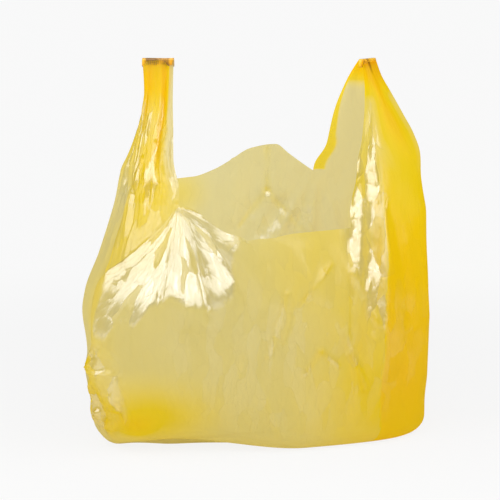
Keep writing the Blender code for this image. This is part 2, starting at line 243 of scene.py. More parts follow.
@dataclass
class BagShape:
    """The bag's smooth outline: a gusseted tube, cut away at the mouth and drawn up into two handles.

    The curves of sides, depths and gussets go by height, and the two edges give the mouth's height by
    share of the way across. The corner's fields draw in and lift the lower front corner at the left.
    """

    weld: WeldSize = field(default_factory=WeldSize)
    mouth_right: float = 78.0
    back_mouth_right: float = 85.0
    mouth_left: float = 92.0
    right_side: Curve = ((0, 171), (30, 176), (66, 183), (110, 185), (236, 186), (264, 188))
    left_side: Curve = (
        (0, 157), (36, 165), (72, 172), (86, 170), (130, 176), (150, 173), (187, 158), (240, 140), (265, 133),
    )
    front_depth: Curve = ((0, 84), (60, 86), (145, 84), (215, 68), (260, 50))
    back_depth: Curve = ((0, 84), (70, 85), (160, 82), (256, 70), (300, 50))
    squareness: float = 3.6
    right_gusset: Curve = ((0, 0), (14, 2), (55, 26), (110, 38), (215, 42), (265, 40))
    left_gusset: Curve = ((0, 0), (14, 1), (60, 9), (150, 13), (265, 8))
    gusset_span: float = 0.8
    base_round: float = 17.0
    corner_tuck: float = 0.42
    corner_lift: float = 11.0
    corner_height: float = 110.0
    corner_width: float = 150.0
    corner_start: float = 35.0
    front_edge: Curve = ((0, 243), (0.09, 240), (0.2, 227), (0.34, 213), (0.55, 213), (0.7, 216), (1, 217))
    back_edge: Curve = (
        (0, 253), (0.33, 255), (0.46, 261), (0.58, 271), (0.68, 284), (0.8, 288), (0.87, 278), (1, 259),
    )
    front_bow: float = 14.0
    back_bow: float = 12.0
    bow_rise: int = 3
    handle_squareness: float = 2.2
    pleats: int = 4
    pleat_height: float = 2.8
    mouth_columns: int = 12
    handle_columns: int = 24
    split: int = 6
    round_rows: int = 8
    body_rows: int = 112
    handle_rows: int = 72

    def __post_init__(self) -> None:
        """Makes the handles and the mesh's fine column counts."""
        self.mouth = self.mouth_columns * self.split
        self.strand = self.handle_columns * self.split
        self.right = HandleShape(
            side=1,
            top=378.0,
            weld_middle=119.0,
            weld_turn=42.0,
            front_inner=((0, self.mouth_right), (0.25, 56), (0.5, 33), (0.75, 10)),
            back_inner=((0, self.back_mouth_right), (0.12, 82), (0.3, 64), (0.5, 43), (0.75, 15)),
            outer=((0, 188), (0.2, 166), (0.37, 144), (0.5, 118), (0.62, 90), (0.78, 54), (0.9, 29)),
            front_depth=((0, 68), (0.25, 48), (0.5, 33), (0.75, 17), (0.9, 8)),
            back_depth=((0, 70), (0.25, 57), (0.5, 40), (0.75, 20), (0.9, 9)),
            gusset=((0, 42), (0.35, 34), (0.6, 18), (0.82, 4), (1, 0)),
        )
        self.left = HandleShape(
            side=-1,
            top=382.0,
            weld_middle=97.5,
            weld_turn=15.0,
            front_inner=((0, self.mouth_left), (0.25, 67), (0.5, 38), (0.75, 11)),
            back_inner=((0, self.mouth_left), (0.25, 66), (0.5, 38), (0.75, 12)),
            outer=((0, 140), (0.2, 113), (0.4, 84), (0.6, 57), (0.75, 39)),
            front_depth=((0, 60), (0.25, 38), (0.5, 20), (0.68, 10), (0.85, 5)),
            back_depth=((0, 70), (0.25, 42), (0.5, 21), (0.68, 11), (0.85, 5)),
            gusset=((0, 8), (0.4, 5), (0.7, 1), (1, 0)),
        )

    def corner_angle(self, side: int, face: Face) -> float:
        """Angle round the body of one corner of the mouth's cut.

        Args:
            side: 1 for the right, -1 for the left.
            face: The face that the corner is cut in.

        Returns:
            The angle, in radians.
        """
        right_cut = self.mouth_right if face is Face.FRONT else self.back_mouth_right
        cut = right_cut if side > 0 else self.mouth_left
        outline = self.right_side if side > 0 else self.left_side
        edge = self.front_edge if face is Face.FRONT else self.back_edge
        share = cut / through(outline, edge[-1 if side > 0 else 0][1])
        across = math.acos(float(share) ** (self.squareness / 2))
        return face.value * (across if side > 0 else math.pi - across)

    def evenly(self, start: float, end: float, columns: int) -> np.ndarray:
        """Spreads columns at equal steps along a typical ring.

        Args:
            start: Angle of the first column.
            end: Angle of the column after the last.
            columns: How many columns there are.

        Returns:
            The angle of each column.
        """
        dense = np.linspace(start, end, 801)
        x, y = squarish(dense, self.squareness)
        x, y = x * self.right_side[0][1], y * self.front_depth[0][1]
        length = np.concatenate(([0], np.cumsum(np.hypot(np.diff(x), np.diff(y)))))
        return np.interp(np.linspace(0, length[-1], columns + 1)[:-1], length, dense)

    def column_angles(self) -> np.ndarray:
        """Angle of each column: front edge, right handle, back edge, left handle.

        Returns:
            The angles, in radians.
        """
        front_left = self.corner_angle(-1, Face.FRONT)
        front_right = self.corner_angle(1, Face.FRONT)
        back_right = self.corner_angle(1, Face.BACK)
        back_left = self.corner_angle(-1, Face.BACK)
        return np.concatenate((
            self.evenly(front_left, front_right, self.mouth),
            self.evenly(front_right, back_right, self.strand),
            self.evenly(back_right, back_left, self.mouth),
            self.evenly(back_left, front_left + 2 * math.pi, self.strand),
        ))

    def edge_heights(self) -> np.ndarray:
        """Height of the top of each body column: the mouth's edge, or the foot of a handle.

        Returns:
            The height of each column.
        """
        share = np.arange(self.mouth) / self.mouth
        across = eased(np.arange(self.strand) / self.strand)
        front, back = through(self.front_edge, share), through(self.back_edge, 1 - share)
        front_right, back_right = self.front_edge[-1][1], self.back_edge[-1][1]
        front_left, back_left = self.front_edge[0][1], self.back_edge[0][1]
        right = front_right + across * (back_right - front_right)
        left = back_left + across * (front_left - back_left)
        return np.concatenate((front, right, back, left))

    def tucked(self, depth: np.ndarray) -> np.ndarray:
        """How far a side folds in, from 1 at its middle to 0 near its two corners."""
        return np.clip(1 - np.abs(depth) / self.gusset_span, 0, 1)

    def on_body(self, angle: np.ndarray, z: np.ndarray) -> np.ndarray:
        """Point of the body's outline at an angle and a height.

        Args:
            angle: Angle round the body.
            z: Height.

        Returns:
            The places, with X, Y and Z last.
        """
        across, depth = squarish(angle, self.squareness)
        width = np.where(across > 0, through(self.right_side, z), through(self.left_side, z))
        reach = np.where(depth > 0, through(self.back_depth, z), through(self.front_depth, z))
        left = eased((self.corner_start - across * width) / self.corner_width) * (depth < 0)
        near_floor = np.clip(1 - z / self.corner_height, 0, 1) ** 2
        reach = reach * (1 - self.corner_tuck * left * near_floor)
        low = np.clip(self.base_round - z, 0, self.base_round)
        inset = self.base_round - np.sqrt(self.base_round**2 - low**2)
        lifted = z + self.corner_lift * left * np.abs(depth) * near_floor
        folds = np.where(across > 0, -through(self.right_gusset, z), through(self.left_gusset, z))
        x = across * (width - inset) + folds * self.tucked(depth)
        return np.stack((x, depth * (reach - inset), lifted), axis=-1)

    def bowed(self, points: np.ndarray, face: Face, bow: float) -> np.ndarray:
        """Points below a mouth's edge, with the edge's middle bowed outwards.

        Args:
            points: The points by row and column, which are changed.
            face: The face that they lie on.
            bow: How far the middle bows.

        Returns:
            The same points.
        """
        rows, columns = points.shape[:2]
        up = np.linspace(0, 1, rows)[:, None] ** self.bow_rise
        across = np.sin(np.pi * np.arange(columns) / self.mouth)[None, :]
        points[..., 1] += face.value * bow * up * across
        return points

    def body_points(self, angles: np.ndarray, heights: np.ndarray) -> np.ndarray:
        """Film from the floor's edge up to the mouth's edge and the handles' feet.

        Args:
            angles: Angle of each column.
            heights: Height of each column's top.

        Returns:
            The points by row and column.
        """
        turns = np.radians(np.linspace(0, 90, self.round_rows + 1))[:-1]
        low = self.base_round * (1 - np.cos(turns))
        climb = np.linspace(0, 1, self.body_rows + 1)[:, None]
        high = self.base_round + climb * (heights[None, :] - self.base_round)
        z = np.vstack((np.repeat(low[:, None], len(heights), axis=1), high))
        points = self.on_body(angles[None, :], z)
        back = self.mouth + self.strand
        points[:, :self.mouth] = self.bowed(points[:, :self.mouth], Face.FRONT, self.front_bow)
        columns = slice(back, back + self.mouth)
        points[:, columns] = self.bowed(points[:, columns], Face.BACK, self.back_bow)
        return points

    def handle_section(self, handle: HandleShape, t: np.ndarray, share: np.ndarray) -> Pair:
        """Places points on a handle's C-shaped section.

        Args:
            handle: The handle.
            t: Share of the way up it.
            share: Share of the way round the section, from the front edge to the back one.

        Returns:
            X and Y of each point.
        """
        lean = handle.weld_middle * t
        half_weld = self.weld.width / 2 - self.weld.wall
        depth_end = self.weld.thickness / 2 - self.weld.wall
        front = share < 0.5
        front_inner, back_inner = (
            lean + through(edge + ((1, -half_weld),), t) for edge in (handle.front_inner, handle.back_inner)
        )
        front_depth, back_depth = (
            through(depth + ((1, depth_end),), t) for depth in (handle.front_depth, handle.back_depth)
        )
        inner = np.where(front, front_inner, back_inner)
        depth = np.where(front, front_depth, back_depth)
        width = lean + through(handle.outer + ((1, half_weld),), t) - inner
        bend = width + eased(t) * (np.minimum(depth, width) - width)
        run = width - bend
        arc = math.pi / 2 * np.sqrt((bend**2 + depth**2) / 2)
        travel = (1 - np.abs(2 * share - 1)) * (run + arc)
        angle = np.clip((travel - run) / arc, 0, 1) * math.pi / 2
        x = inner + np.minimum(travel, run) + bend * np.sin(angle) ** (2 / self.handle_squareness)
        y = np.where(front, -1, 1) * depth * np.cos(angle) ** (2 / self.handle_squareness)
        x = x - through(handle.gusset, t) * self.tucked(y / depth)
        turn = math.radians(handle.weld_turn) * t**2
        dx = x - handle.weld_middle
        across = handle.weld_middle + dx * np.cos(turn) - y * np.sin(turn)
        return handle.side * across, dx * np.sin(turn) + y * np.cos(turn)

    def handle_points(self, handle: HandleShape, angles: np.ndarray, feet: np.ndarray) -> Pair:
        """Film of one handle above its foot.

        Args:
            handle: The handle.
            angles: Angle of each of its columns at the foot.
            feet: Height of each column's foot.

        Returns:
            The points by row and column, and the share of the way up of each.
        """
        count = len(angles)
        t = np.linspace(0, 1, self.handle_rows + 1)[1:, None] * np.ones((1, count))
        top = handle.top - self.weld.wall
        z = feet[None, :] + t * (top - feet[None, :])
        share = np.linspace(0, 1, count)[None, :] * np.ones_like(t)
        if handle.side < 0:
            share = 1 - share
        x, y = self.handle_section(handle, t, share)
        pleat = self.pleat_height * np.sin(2 * np.pi * self.pleats * share) * np.sin(np.pi * t)
        y = y + pleat * np.sign(0.5 - share) * np.abs(np.cos(np.pi * share))
        above = np.stack((x, y, z), axis=-1)
        below = self.on_body(angles[None, :], z)
        joined = eased(t / handle.joins_body)[..., None]
        return below + joined * (above - below), t


@dataclass(frozen=True)
class Facets:
    """Flat facets with sharp ridges between them, as crushed film has.

    across and up are the usual size of a facet, and seed picks the pattern.
    """

    across: float
    up: float
    seed: int
    jitter: float = 0.42

    def heights(self, u: np.ndarray, v: np.ndarray) -> np.ndarray:
        """Reads the pattern.

        Args:
            u: How far each place lies across the flat film.
            v: How far up it lies.

        Returns:
            The height at each place, from -1 to 1.
        """
        rng = np.random.default_rng(self.seed)
        u, v = u / self.across, v / self.up
        low_u, high_u = math.floor(u.min()) - 2, math.ceil(u.max()) + 2
        low_v, high_v = math.floor(v.min()) - 2, math.ceil(v.max()) + 2
        grid_u, grid_v = np.meshgrid(np.arange(low_u, high_u + 1), np.arange(low_v, high_v + 1))
        grid_u = grid_u + 0.5 * (grid_v % 2)
        points_u = grid_u + rng.uniform(-self.jitter, self.jitter, grid_u.shape)
        points_v = grid_v + rng.uniform(-self.jitter, self.jitter, grid_u.shape)
        peaks = rng.uniform(-1, 1, grid_u.size)
        flat = [Vector(place) for place in zip(points_u.ravel(), points_v.ravel())]
        verts, _, faces, _, _, _ = delaunay_2d_cdt(flat, [], [], 0, 1e-6)
        tree = BVHTree.FromPolygons([(p.x, p.y, z) for p, z in zip(verts, peaks)], faces)
        down = Vector((0, 0, -1))
        found = np.zeros(len(u))
        for i, (a, b) in enumerate(zip(u, v)):
            place = tree.ray_cast(Vector((a, b, 5)), down)[0]
            found[i] = place.z if place is not None else 0.0
        return found


@dataclass
class FlatPlaces:
    """Where each point of the film lies on the flat tube: how far round it and how high."""

    points: np.ndarray
    flat: np.ndarray
    squeeze: np.ndarray
    round_length: float

    def near(self, place: Place) -> tuple[float, float]:
        """Flat place of the film's point that lies nearest to a place in space."""
        nearest = np.argmin(np.linalg.norm(self.points - np.array(place, float), axis=1))
        return float(self.flat[nearest, 0]), float(self.flat[nearest, 1])

    def from_point(self, place: Place) -> Pair:
        """How far round and how far up every point lies from the film nearest to a place.

        Args:
            place: A place in space.

        Returns:
            How far round and how far up, for each point.
        """
        u, v = self.near(place)
        half = self.round_length / 2
        return (self.flat[:, 0] - u + half) % self.round_length - half, self.flat[:, 1] - v

    def within(self, centre: Place, size: tuple[float, float], soft: float) -> np.ndarray:
        """How much each point belongs to an oval of film.

        Args:
            centre: The oval's middle in space.
            size: Its half width and half height on the flat film.
            soft: How soft its edge is, beside its size.

        Returns:
            From 0 outside to 1 inside, for each point.
        """
        u, v = self.from_point(centre)
        away = np.hypot(u / size[0], v / size[1])
        return eased((1 + soft - away) / (2 * soft))


@dataclass(frozen=True)
class Crumple:
    """An area of film that is crushed into facets.

    centre is its middle in space and size its half width and half height on the flat film. cell is the
    width and length of its largest facets, steep their slope, and each of the octaves is finer than the
    one before. edge is how soft the area's edge is. Where apex is given, the facets fan out from the
    film nearest to it, and spread is how far from it they have their full width. shine is how much
    they mirror the light.
    """

    centre: Place
    size: tuple[float, float]
    cell: tuple[float, float]
    steep: float
    seed: int
    apex: Place | None = None
    octaves: int = 2
    finer: float = 0.45
    edge: float = 0.3
    spread: float = 80.0
    shine: float = 1.0

    def weight(self, places: FlatPlaces) -> np.ndarray:
        """How much each point belongs to the area, from 0 to 1."""
        return places.within(self.centre, self.size, self.edge)

    def lift(self, places: FlatPlaces) -> np.ndarray:
        """How far the facets lift each point out of the film.

        Args:
            places: The film.

        Returns:
            The lift of each point.
        """
        weight = self.weight(places)
        inside = np.flatnonzero(weight > 0)
        total = np.zeros(len(weight))
        if not len(inside):
            return total
        u, v = places.from_point(self.centre)
        scale = 1.0
        if self.apex is not None:
            across, up = places.from_point(self.apex)
            reach = np.hypot(across, up)
            u, v = np.degrees(np.arctan2(across, -up)) * math.radians(1) * self.spread, -reach
            scale = np.clip(reach[inside] / self.spread, 0.15, 1.3)
        u, v = u[inside], v[inside]
        for octave in range(self.octaves):
            share = self.finer**octave
            facets = Facets(self.cell[0] * share, self.cell[1] * share, self.seed + octave)
            total[inside] += self.steep * self.cell[0] * share * facets.heights(u, v)
        total[inside] *= scale * np.clip(places.squeeze[inside] * 1.3, 0.2, 1.0)
        return total * weight


@dataclass(frozen=True)
class Cape:
    """Film that hangs from one point and leans out to a jagged shoulder.

    edge gives the shoulder's reach by the angle from straight down, as seen from outside with the
    film flat. grooves are (angle, depth, width in degrees) of the valleys that run up to the point.
    power is how hollow the lean is, below how far the film takes to fall back under the shoulder, and
    fade the degrees that its sides take. rim and run_out are (share of the reach, softness) of where
    the leaning film and its valleys end.
    """

    apex: Place
    edge: Curve
    height: float
    grooves: tuple[Place, ...]
    power: float = 1.4
    below: float = 55.0
    fade: float = 6.0
    rim: tuple[float, float] = (1.06, 0.08)
    run_out: tuple[float, float] = (1.25, 0.3)

    def polar(self, places: FlatPlaces) -> tuple[np.ndarray, np.ndarray, np.ndarray]:
        """Where each point lies, seen from the apex.

        Args:
            places: The film.

        Returns:
            Angle from straight down, reach, and the shoulder's reach at that angle.
        """
        across, up = places.from_point(self.apex)
        angle = np.degrees(np.arctan2(across, -up))
        angles, reaches = (np.array(column, float) for column in zip(*self.edge))
        return angle, np.hypot(across, up), np.interp(angle, angles, reaches)

    def sides(self, angle: np.ndarray) -> np.ndarray:
        """How far each angle lies inside the two sides, from 0 to 1."""
        first, last = self.edge[0][0], self.edge[-1][0]
        return eased((angle - first) / self.fade) * eased((last - angle) / self.fade)

    def weight(self, places: FlatPlaces) -> np.ndarray:
        """How much each point belongs to the leaning film, from 0 to 1."""
        angle, reach, edge = self.polar(places)
        return self.sides(angle) * eased((self.rim[0] - reach / edge) / self.rim[1])

    def lift(self, places: FlatPlaces) -> np.ndarray:
        """How far the form lifts each point out of the film.

        Args:
            places: The film.

        Returns:
            The lift of each point.
        """
        angle, reach, edge = self.polar(places)
        share = reach / edge
        inner = np.clip(share, 0, 1) ** self.power
        outer = np.exp(-np.clip((reach - edge) / self.below, 0, 9) ** 1.3)
        valleys = np.zeros(len(angle))
        for middle, depth, width in self.grooves:
            valleys += depth * np.exp(-np.abs(angle - middle) / width)
        run = np.clip(share, 0, 1) * eased((self.run_out[0] - share) / self.run_out[1])
        return self.sides(angle) * (self.height * inner * outer - valleys * run)


@dataclass
class FilmMesh:
    """The film as one sheet of points and quads, in millimetres.

    flat is each point's place on the flat tube, layers how many layers of film lie there, with painted
    shade added as layers along the sharp creases and over the right side, crushed and leaning how far it
    is crushed or part of the fan, which makes it mirror the light, and grain and fan_grain its places for
    the two patterns of crinkles.
    """

    points: np.ndarray
    quads: np.ndarray
    flat: np.ndarray
    layers: np.ndarray
    crushed: np.ndarray
    leaning: np.ndarray
    grain: np.ndarray
    fan_grain: np.ndarray
    round_length: float
    tiny: float = 1e-9

    def normals(self) -> np.ndarray:
        """Outward unit normal of the film at each point.

        Returns:
            The normals, with X, Y and Z last.
        """
        a, b, c, d = (self.points[self.quads[:, i]] for i in range(4))
        across = np.cross(c - a, d - b)
        total = np.zeros_like(self.points)
        for corner in range(4):
            for axis in range(3):
                total[:, axis] += np.bincount(self.quads[:, corner], across[:, axis], len(total))
        return total / np.maximum(np.linalg.norm(total, axis=1, keepdims=True), self.tiny)


@dataclass(frozen=True)
class LayerPatch:
    """An area where the film lies in more layers than one, so that its colour is deeper.

    centre is its middle in space and size its half width and half height on the flat film.
    """

    centre: Place
    size: tuple[float, float]
    extra: float
    soft: float = 0.35

    def layers(self, places: FlatPlaces) -> np.ndarray:
        """Extra layers at each point."""
        return self.extra * places.within(self.centre, self.size, self.soft)


@dataclass(frozen=True)
class FoldedBand:
    """The part of a side where a gusset lies folded behind the face, which ends at a sharp crease. Its
    deeper colour is partly those layers and partly painted shade over the side that turns from the lights.

    crease gives the crease on the face from its top to its bottom, as places in space. reach is how
    far the deeper colour runs on round the side, extra its layers by height, sharp the crease's width
    and fade the share of the reach in which the colour ends.
    """

    crease: tuple[Place, ...]
    reach: float
    extra: Curve
    sharp: float = 2.2
    fade: float = 0.25

    def layers(self, places: FlatPlaces) -> np.ndarray:
        """Extra layers of the fold, with the painted shade over the side.

        Args:
            places: The film.

        Returns:
            The extra layers at each point.
        """
        base = places.near(self.crease[0])[0]
        line = sorted((v, u - base) for u, v in (places.near(place) for place in self.crease))
        heights, offsets = (np.array(column) for column in zip(*line))
        u = places.from_point(self.crease[0])[0] - np.interp(places.flat[:, 1], heights, offsets)
        near, far = eased(u / self.sharp + 0.5), eased((self.reach - u) / (self.reach * self.fade))
        return near * far * through(self.extra, places.flat[:, 1])


@dataclass(frozen=True)
class Stripe:
    """A stripe up a handle where its film is folded over itself.

    share is its place round the handle's section and width its half width there. It begins at the
    share start of the way up, and is whole after a further share rise.
    """

    extra: float
    share: float
    width: float
    start: float
    rise: float

    def layers(self, share: np.ndarray, t: np.ndarray) -> np.ndarray:
        """Extra layers at each place, by its share of the way round and of the way up."""
        across = np.exp(-(((share - self.share) / self.width) ** 2))
        return self.extra * across * eased((t - self.start) / self.rise)


@dataclass
class FilmBuilder:
    """Builds the film's mesh: outline, folds, crumples and layers.

    seal_share is the floor's width at its middle, beside its edge, and level_share where it starts to
    rise to its lifted corner. floor_length is the flat length of film under the floor, and round_row
    the row of the body that gives the flat film's length round. score_shine says how much a sharp
    crease mirrors the light, and score_painted_shade how much it deepens the colour along it, which is
    painted shade counted as extra layers. The fields for the right and left handles are the extra
    layers of their gathered film and of its stripes.
    """

    shape: BagShape
    fans: tuple[Fan, ...]
    creases: tuple[Crease, ...]
    cape: Cape
    crumples: tuple[Crumple, ...]
    scores: tuple[Crease, ...]
    patches: tuple["LayerPatch | FoldedBand", ...]
    floor_rings: int = 10
    first_ring: float = 0.04
    seal_share: float = 0.35
    level_share: float = 0.62
    floor_length: float = 80.0
    round_row: int = 20
    fan_spread: float = 85.0
    score_shine: float = 0.8
    score_painted_shade: float = 0.25
    right_top: float = 4.0
    right_front: float = 0.6
    right_hem: float = 0.9
    left_low: float = 0.75
    left_high: float = 0.9
    right_fold: Stripe = Stripe(2.2, 0.2, 0.05, 0.25, 0.4)
    left_orange: Stripe = Stripe(3.0, 0.14, 0.035, 0.2, 0.35)
    left_gold: Stripe = Stripe(1.2, 0.37, 0.06, 0.45, 0.2)

    def build(self) -> tuple[FilmMesh, np.ndarray]:
        """Makes the film's mesh, centred over the origin.

        Returns:
            The film, and the middle that it was centred by.
        """
        film, squeeze = self.outline()
        rise = eased(film.points[:, 2] / self.shape.base_round)
        lift = np.zeros(len(film.points))
        for each in (*self.fans, *self.creases):
            lift += each.lift(film.points)
        film.points = film.points + (lift * rise)[:, None] * film.normals()
        middle = (film.points.min(axis=0) + film.points.max(axis=0)) / 2 * (1, 1, 0)
        self.crush(film, squeeze, rise)
        film.points = film.points - middle
        return film, middle

    def crush(self, film: FilmMesh, squeeze: np.ndarray, rise: np.ndarray) -> None:
        """Adds what is finer than the solid's folds, and the layers, with painted shade along the sharp
        creases and over the right side.

        Args:
            film: The film, which is changed.
            squeeze: How closely its columns lie at each point, beside the flat film.
            rise: How much of a fold each point may show, which is none on the floor.
        """
        places = FlatPlaces(film.points, film.flat, squeeze, film.round_length)
        normal = film.normals()
        lift = self.cape.lift(places)
        film.leaning = self.cape.weight(places)
        angle, reach, _ = self.cape.polar(places)
        film.fan_grain = self.rolled(np.radians(angle) * self.fan_spread, -reach, film.round_length)
        for score in self.scores:
            ridge = score.lift(film.points)
            lift += ridge
            film.crushed = np.maximum(film.crushed, self.score_shine * ridge / score.height)
            # Painted shade: each sharp crease deepens the colour along it, counted as extra layers of film.
            film.layers = film.layers + self.score_painted_shade * ridge / score.height
        for crumple in self.crumples:
            lift += crumple.lift(places)
            film.crushed = np.maximum(film.crushed, crumple.shine * crumple.weight(places))
        for patch in self.patches:
            film.layers = film.layers + patch.layers(places)
        film.points = film.points + (lift * rise)[:, None] * normal
        film.grain = self.rolled(film.flat[:, 0], film.flat[:, 1], film.round_length)

    @staticmethod
    def rolled(around: np.ndarray, along: np.ndarray, length: float) -> np.ndarray:
        """Places on a round tube of a given length round, so that a pattern on them has no seam.

        Args:
            around: How far round the flat film each point lies.
            along: How far up it lies.
            length: The tube's length round.

        Returns:
            The places, with X, Y and Z last.
        """
        radius = length / (2 * math.pi)
        turn = around / radius
        return np.stack((radius * np.cos(turn), radius * np.sin(turn), along), axis=1)

    def outline(self) -> tuple[FilmMesh, np.ndarray]:
        """Makes the smooth sheet and its faces.

        Returns:
            The film, and how closely its columns lie at each point beside the flat film.
        """
        shape = self.shape
        angles, heights = shape.column_angles(), shape.edge_heights()
        body = shape.body_points(angles, heights)
        columns = len(angles)
        first_right, first_left = shape.mouth, 2 * shape.mouth + shape.strand
        right_span = slice(first_right, first_right + shape.strand + 1)
        right, right_t = shape.handle_points(shape.right, angles[right_span], heights[right_span])
        left_angles = np.append(angles[first_left:], angles[0] + 2 * math.pi)
        left_feet = np.append(heights[first_left:], heights[0])
        left, left_t = shape.handle_points(shape.left, left_angles, left_feet)
        shares = np.linspace(self.first_ring, 1.0, self.floor_rings + 1)[:-1]
        wide, level = self.seal_share, self.level_share
        floor = np.stack([
            body[0] * (wide + (1 - wide) * s, s, max(0.0, s - level) / (1 - level)) for s in shares
        ])
        ring = body[self.round_row]
        steps = np.linalg.norm(np.diff(np.vstack((ring, ring[:1])), axis=0), axis=1)
        ends = np.concatenate(([0], np.cumsum(steps)))
        spans = (slice(0, columns), slice(0, columns), right_span, slice(first_left, columns + 1))
        blocks = (floor, body, right, left)
        firsts = np.cumsum([0] + [b[..., 0].size for b in blocks])
        numbers = [first + np.arange(b[..., 0].size).reshape(b.shape[:2]) for first, b in zip(firsts, blocks)]
        top = numbers[1][-1]
        quads = (
            self.round_quads(np.vstack((numbers[0], numbers[1]))),
            self.strip_quads(np.vstack((top[right_span][None], numbers[2]))),
            self.strip_quads(np.vstack((np.append(top[first_left:], top[0])[None], numbers[3]))),
            self.floor_quads(numbers[0][0]),
        )
        along = np.concatenate([
            np.broadcast_to(ends[span], b.shape[:2]).ravel() for b, span in zip(blocks, spans)
        ])
        up = np.concatenate([b[..., 2].ravel() for b in blocks])
        up[:firsts[1]] = -np.repeat((1 - shares) * self.floor_length, columns)
        squeeze = np.concatenate([self.closeness(b, ends[span]).ravel() for b, span in zip(blocks, spans)])
        layers = np.ones(len(squeeze))
        layers[firsts[2]:firsts[3]] += self.right_layers(right_t)
        layers[firsts[3]:firsts[4]] += self.left_layers(left_t)
        points = np.vstack([b.reshape(-1, 3) for b in blocks])
        film = FilmMesh(
            points=points, quads=np.vstack(quads), flat=np.stack((along, up), axis=1), layers=layers,
            crushed=np.zeros(len(points)), leaning=np.zeros(len(points)),
            grain=np.zeros_like(points), fan_grain=np.zeros_like(points), round_length=float(ends[-1]),
        )
        return film, squeeze

    @staticmethod
    def closeness(block: np.ndarray, along: np.ndarray) -> np.ndarray:
        """How closely a block's columns lie, beside the flat film."""
        steps = np.linalg.norm(np.diff(block, axis=1), axis=2) / np.diff(along[:block.shape[1]])
        return np.clip(np.hstack((steps, steps[:, -1:])), 0.05, 1.5)

    def right_layers(self, t: np.ndarray) -> np.ndarray:
        """Extra layers up the right handle, where its film gathers to the weld and folds along one stripe.

        Args:
            t: Share of the way up of each point, by row and column.

        Returns:
            The extra layers of each point, in one row.
        """
        share = np.linspace(0, 1, t.shape[1])[None, :]
        top = self.right_top * eased((t - 0.72) / 0.28) ** 1.3
        front = self.right_front * eased((0.5 - share) / 0.2) * eased(t / 0.3)
        hem = self.right_hem * eased((share - 0.955) / 0.012) * np.ones_like(t)
        return (top + front + self.right_fold.layers(share, t) + hem).ravel()

    def left_layers(self, t: np.ndarray) -> np.ndarray:
        """Extra layers up the left handle, where its film gathers in stripes.

        Args:
            t: Share of the way up of each point, by row and column.

        Returns:
            The extra layers of each point, in one row.
        """
        share = 1 - np.linspace(0, 1, t.shape[1])[None, :]
        gather = self.left_low * eased((t + 0.1) / 0.5) + self.left_high * eased((t - 0.55) / 0.3)
        inside = eased((share - 0.04) / 0.05)
        return (gather * inside + self.left_orange.layers(share, t) + self.left_gold.layers(share, t)).ravel()

    @staticmethod
    def round_quads(rows: np.ndarray) -> np.ndarray:
        """Quads between closed rings of vertex numbers.

        Args:
            rows: The vertex numbers by ring.

        Returns:
            Four vertex numbers for each quad.
        """
        lower, upper = rows[:-1], rows[1:]
        quads = (lower, np.roll(lower, -1, axis=1), np.roll(upper, -1, axis=1), upper)
        return np.stack([q.ravel() for q in quads], axis=1)

    @staticmethod
    def strip_quads(rows: np.ndarray) -> np.ndarray:
        """Quads between open rows of vertex numbers.

        Args:
            rows: The vertex numbers by row.

        Returns:
            Four vertex numbers for each quad.
        """
        lower, upper = rows[:-1], rows[1:]
        quads = (lower[:, :-1], lower[:, 1:], upper[:, 1:], upper[:, :-1])
        return np.stack([q.ravel() for q in quads], axis=1)

    def floor_quads(self, ring: np.ndarray) -> np.ndarray:
        """Quads that close the floor, from the front columns across to the back ones.

        Args:
            ring: Vertex numbers of the innermost ring.

        Returns:
            Four vertex numbers for each quad.
        """
        count = len(ring)
        first = self.shape.mouth + self.shape.strand // 2
        steps = np.arange(1, count // 2 - 1)
        a, b = ring[(first + steps) % count], ring[(first + steps + 1) % count]
        c, d = ring[(first - steps - 1) % count], ring[(first - steps) % count]
        return np.stack((d, c, b, a), axis=1)


class Wire:
    """A shader socket that can be used in sums, as a number can."""

    def __init__(self, board: "Board", socket: bpy.types.NodeSocket) -> None:
        """Wraps one output socket of a board's tree."""
        self.board = board
        self.socket = socket

    def _maths(self, operation: str, first: "Wire | float", second: "Wire | float") -> "Wire":
        """Adds one Math node."""
        return self.board.add("ShaderNodeMath", {"operation": operation}, {0: first, 1: second})

    def __add__(self, other: "Wire | float") -> "Wire":
        """Adds."""
        return self._maths("ADD", self, other)

    def __radd__(self, other: float) -> "Wire":
        """Adds, from the right."""
        return self._maths("ADD", other, self)

    def __sub__(self, other: "Wire | float") -> "Wire":
        """Takes away."""
        return self._maths("SUBTRACT", self, other)

    def __rsub__(self, other: float) -> "Wire":
        """Takes this from a number."""
        return self._maths("SUBTRACT", other, self)

    def __mul__(self, other: "Wire | float") -> "Wire":
        """Multiplies."""
        return self._maths("MULTIPLY", self, other)

    def __rmul__(self, other: float) -> "Wire":
        """Multiplies, from the right."""
        return self._maths("MULTIPLY", other, self)

    def __truediv__(self, other: "Wire | float") -> "Wire":
        """Divides."""
        return self._maths("DIVIDE", self, other)

    def __pow__(self, other: "Wire | float") -> "Wire":
        """Raises to a power."""
        return self._maths("POWER", self, other)

    def __rpow__(self, other: float) -> "Wire":
        """Raises a number to this power."""
        return self._maths("POWER", other, self)

    def most(self, other: "Wire") -> "Wire":
        """The larger of the two."""
        return self._maths("MAXIMUM", self, other)


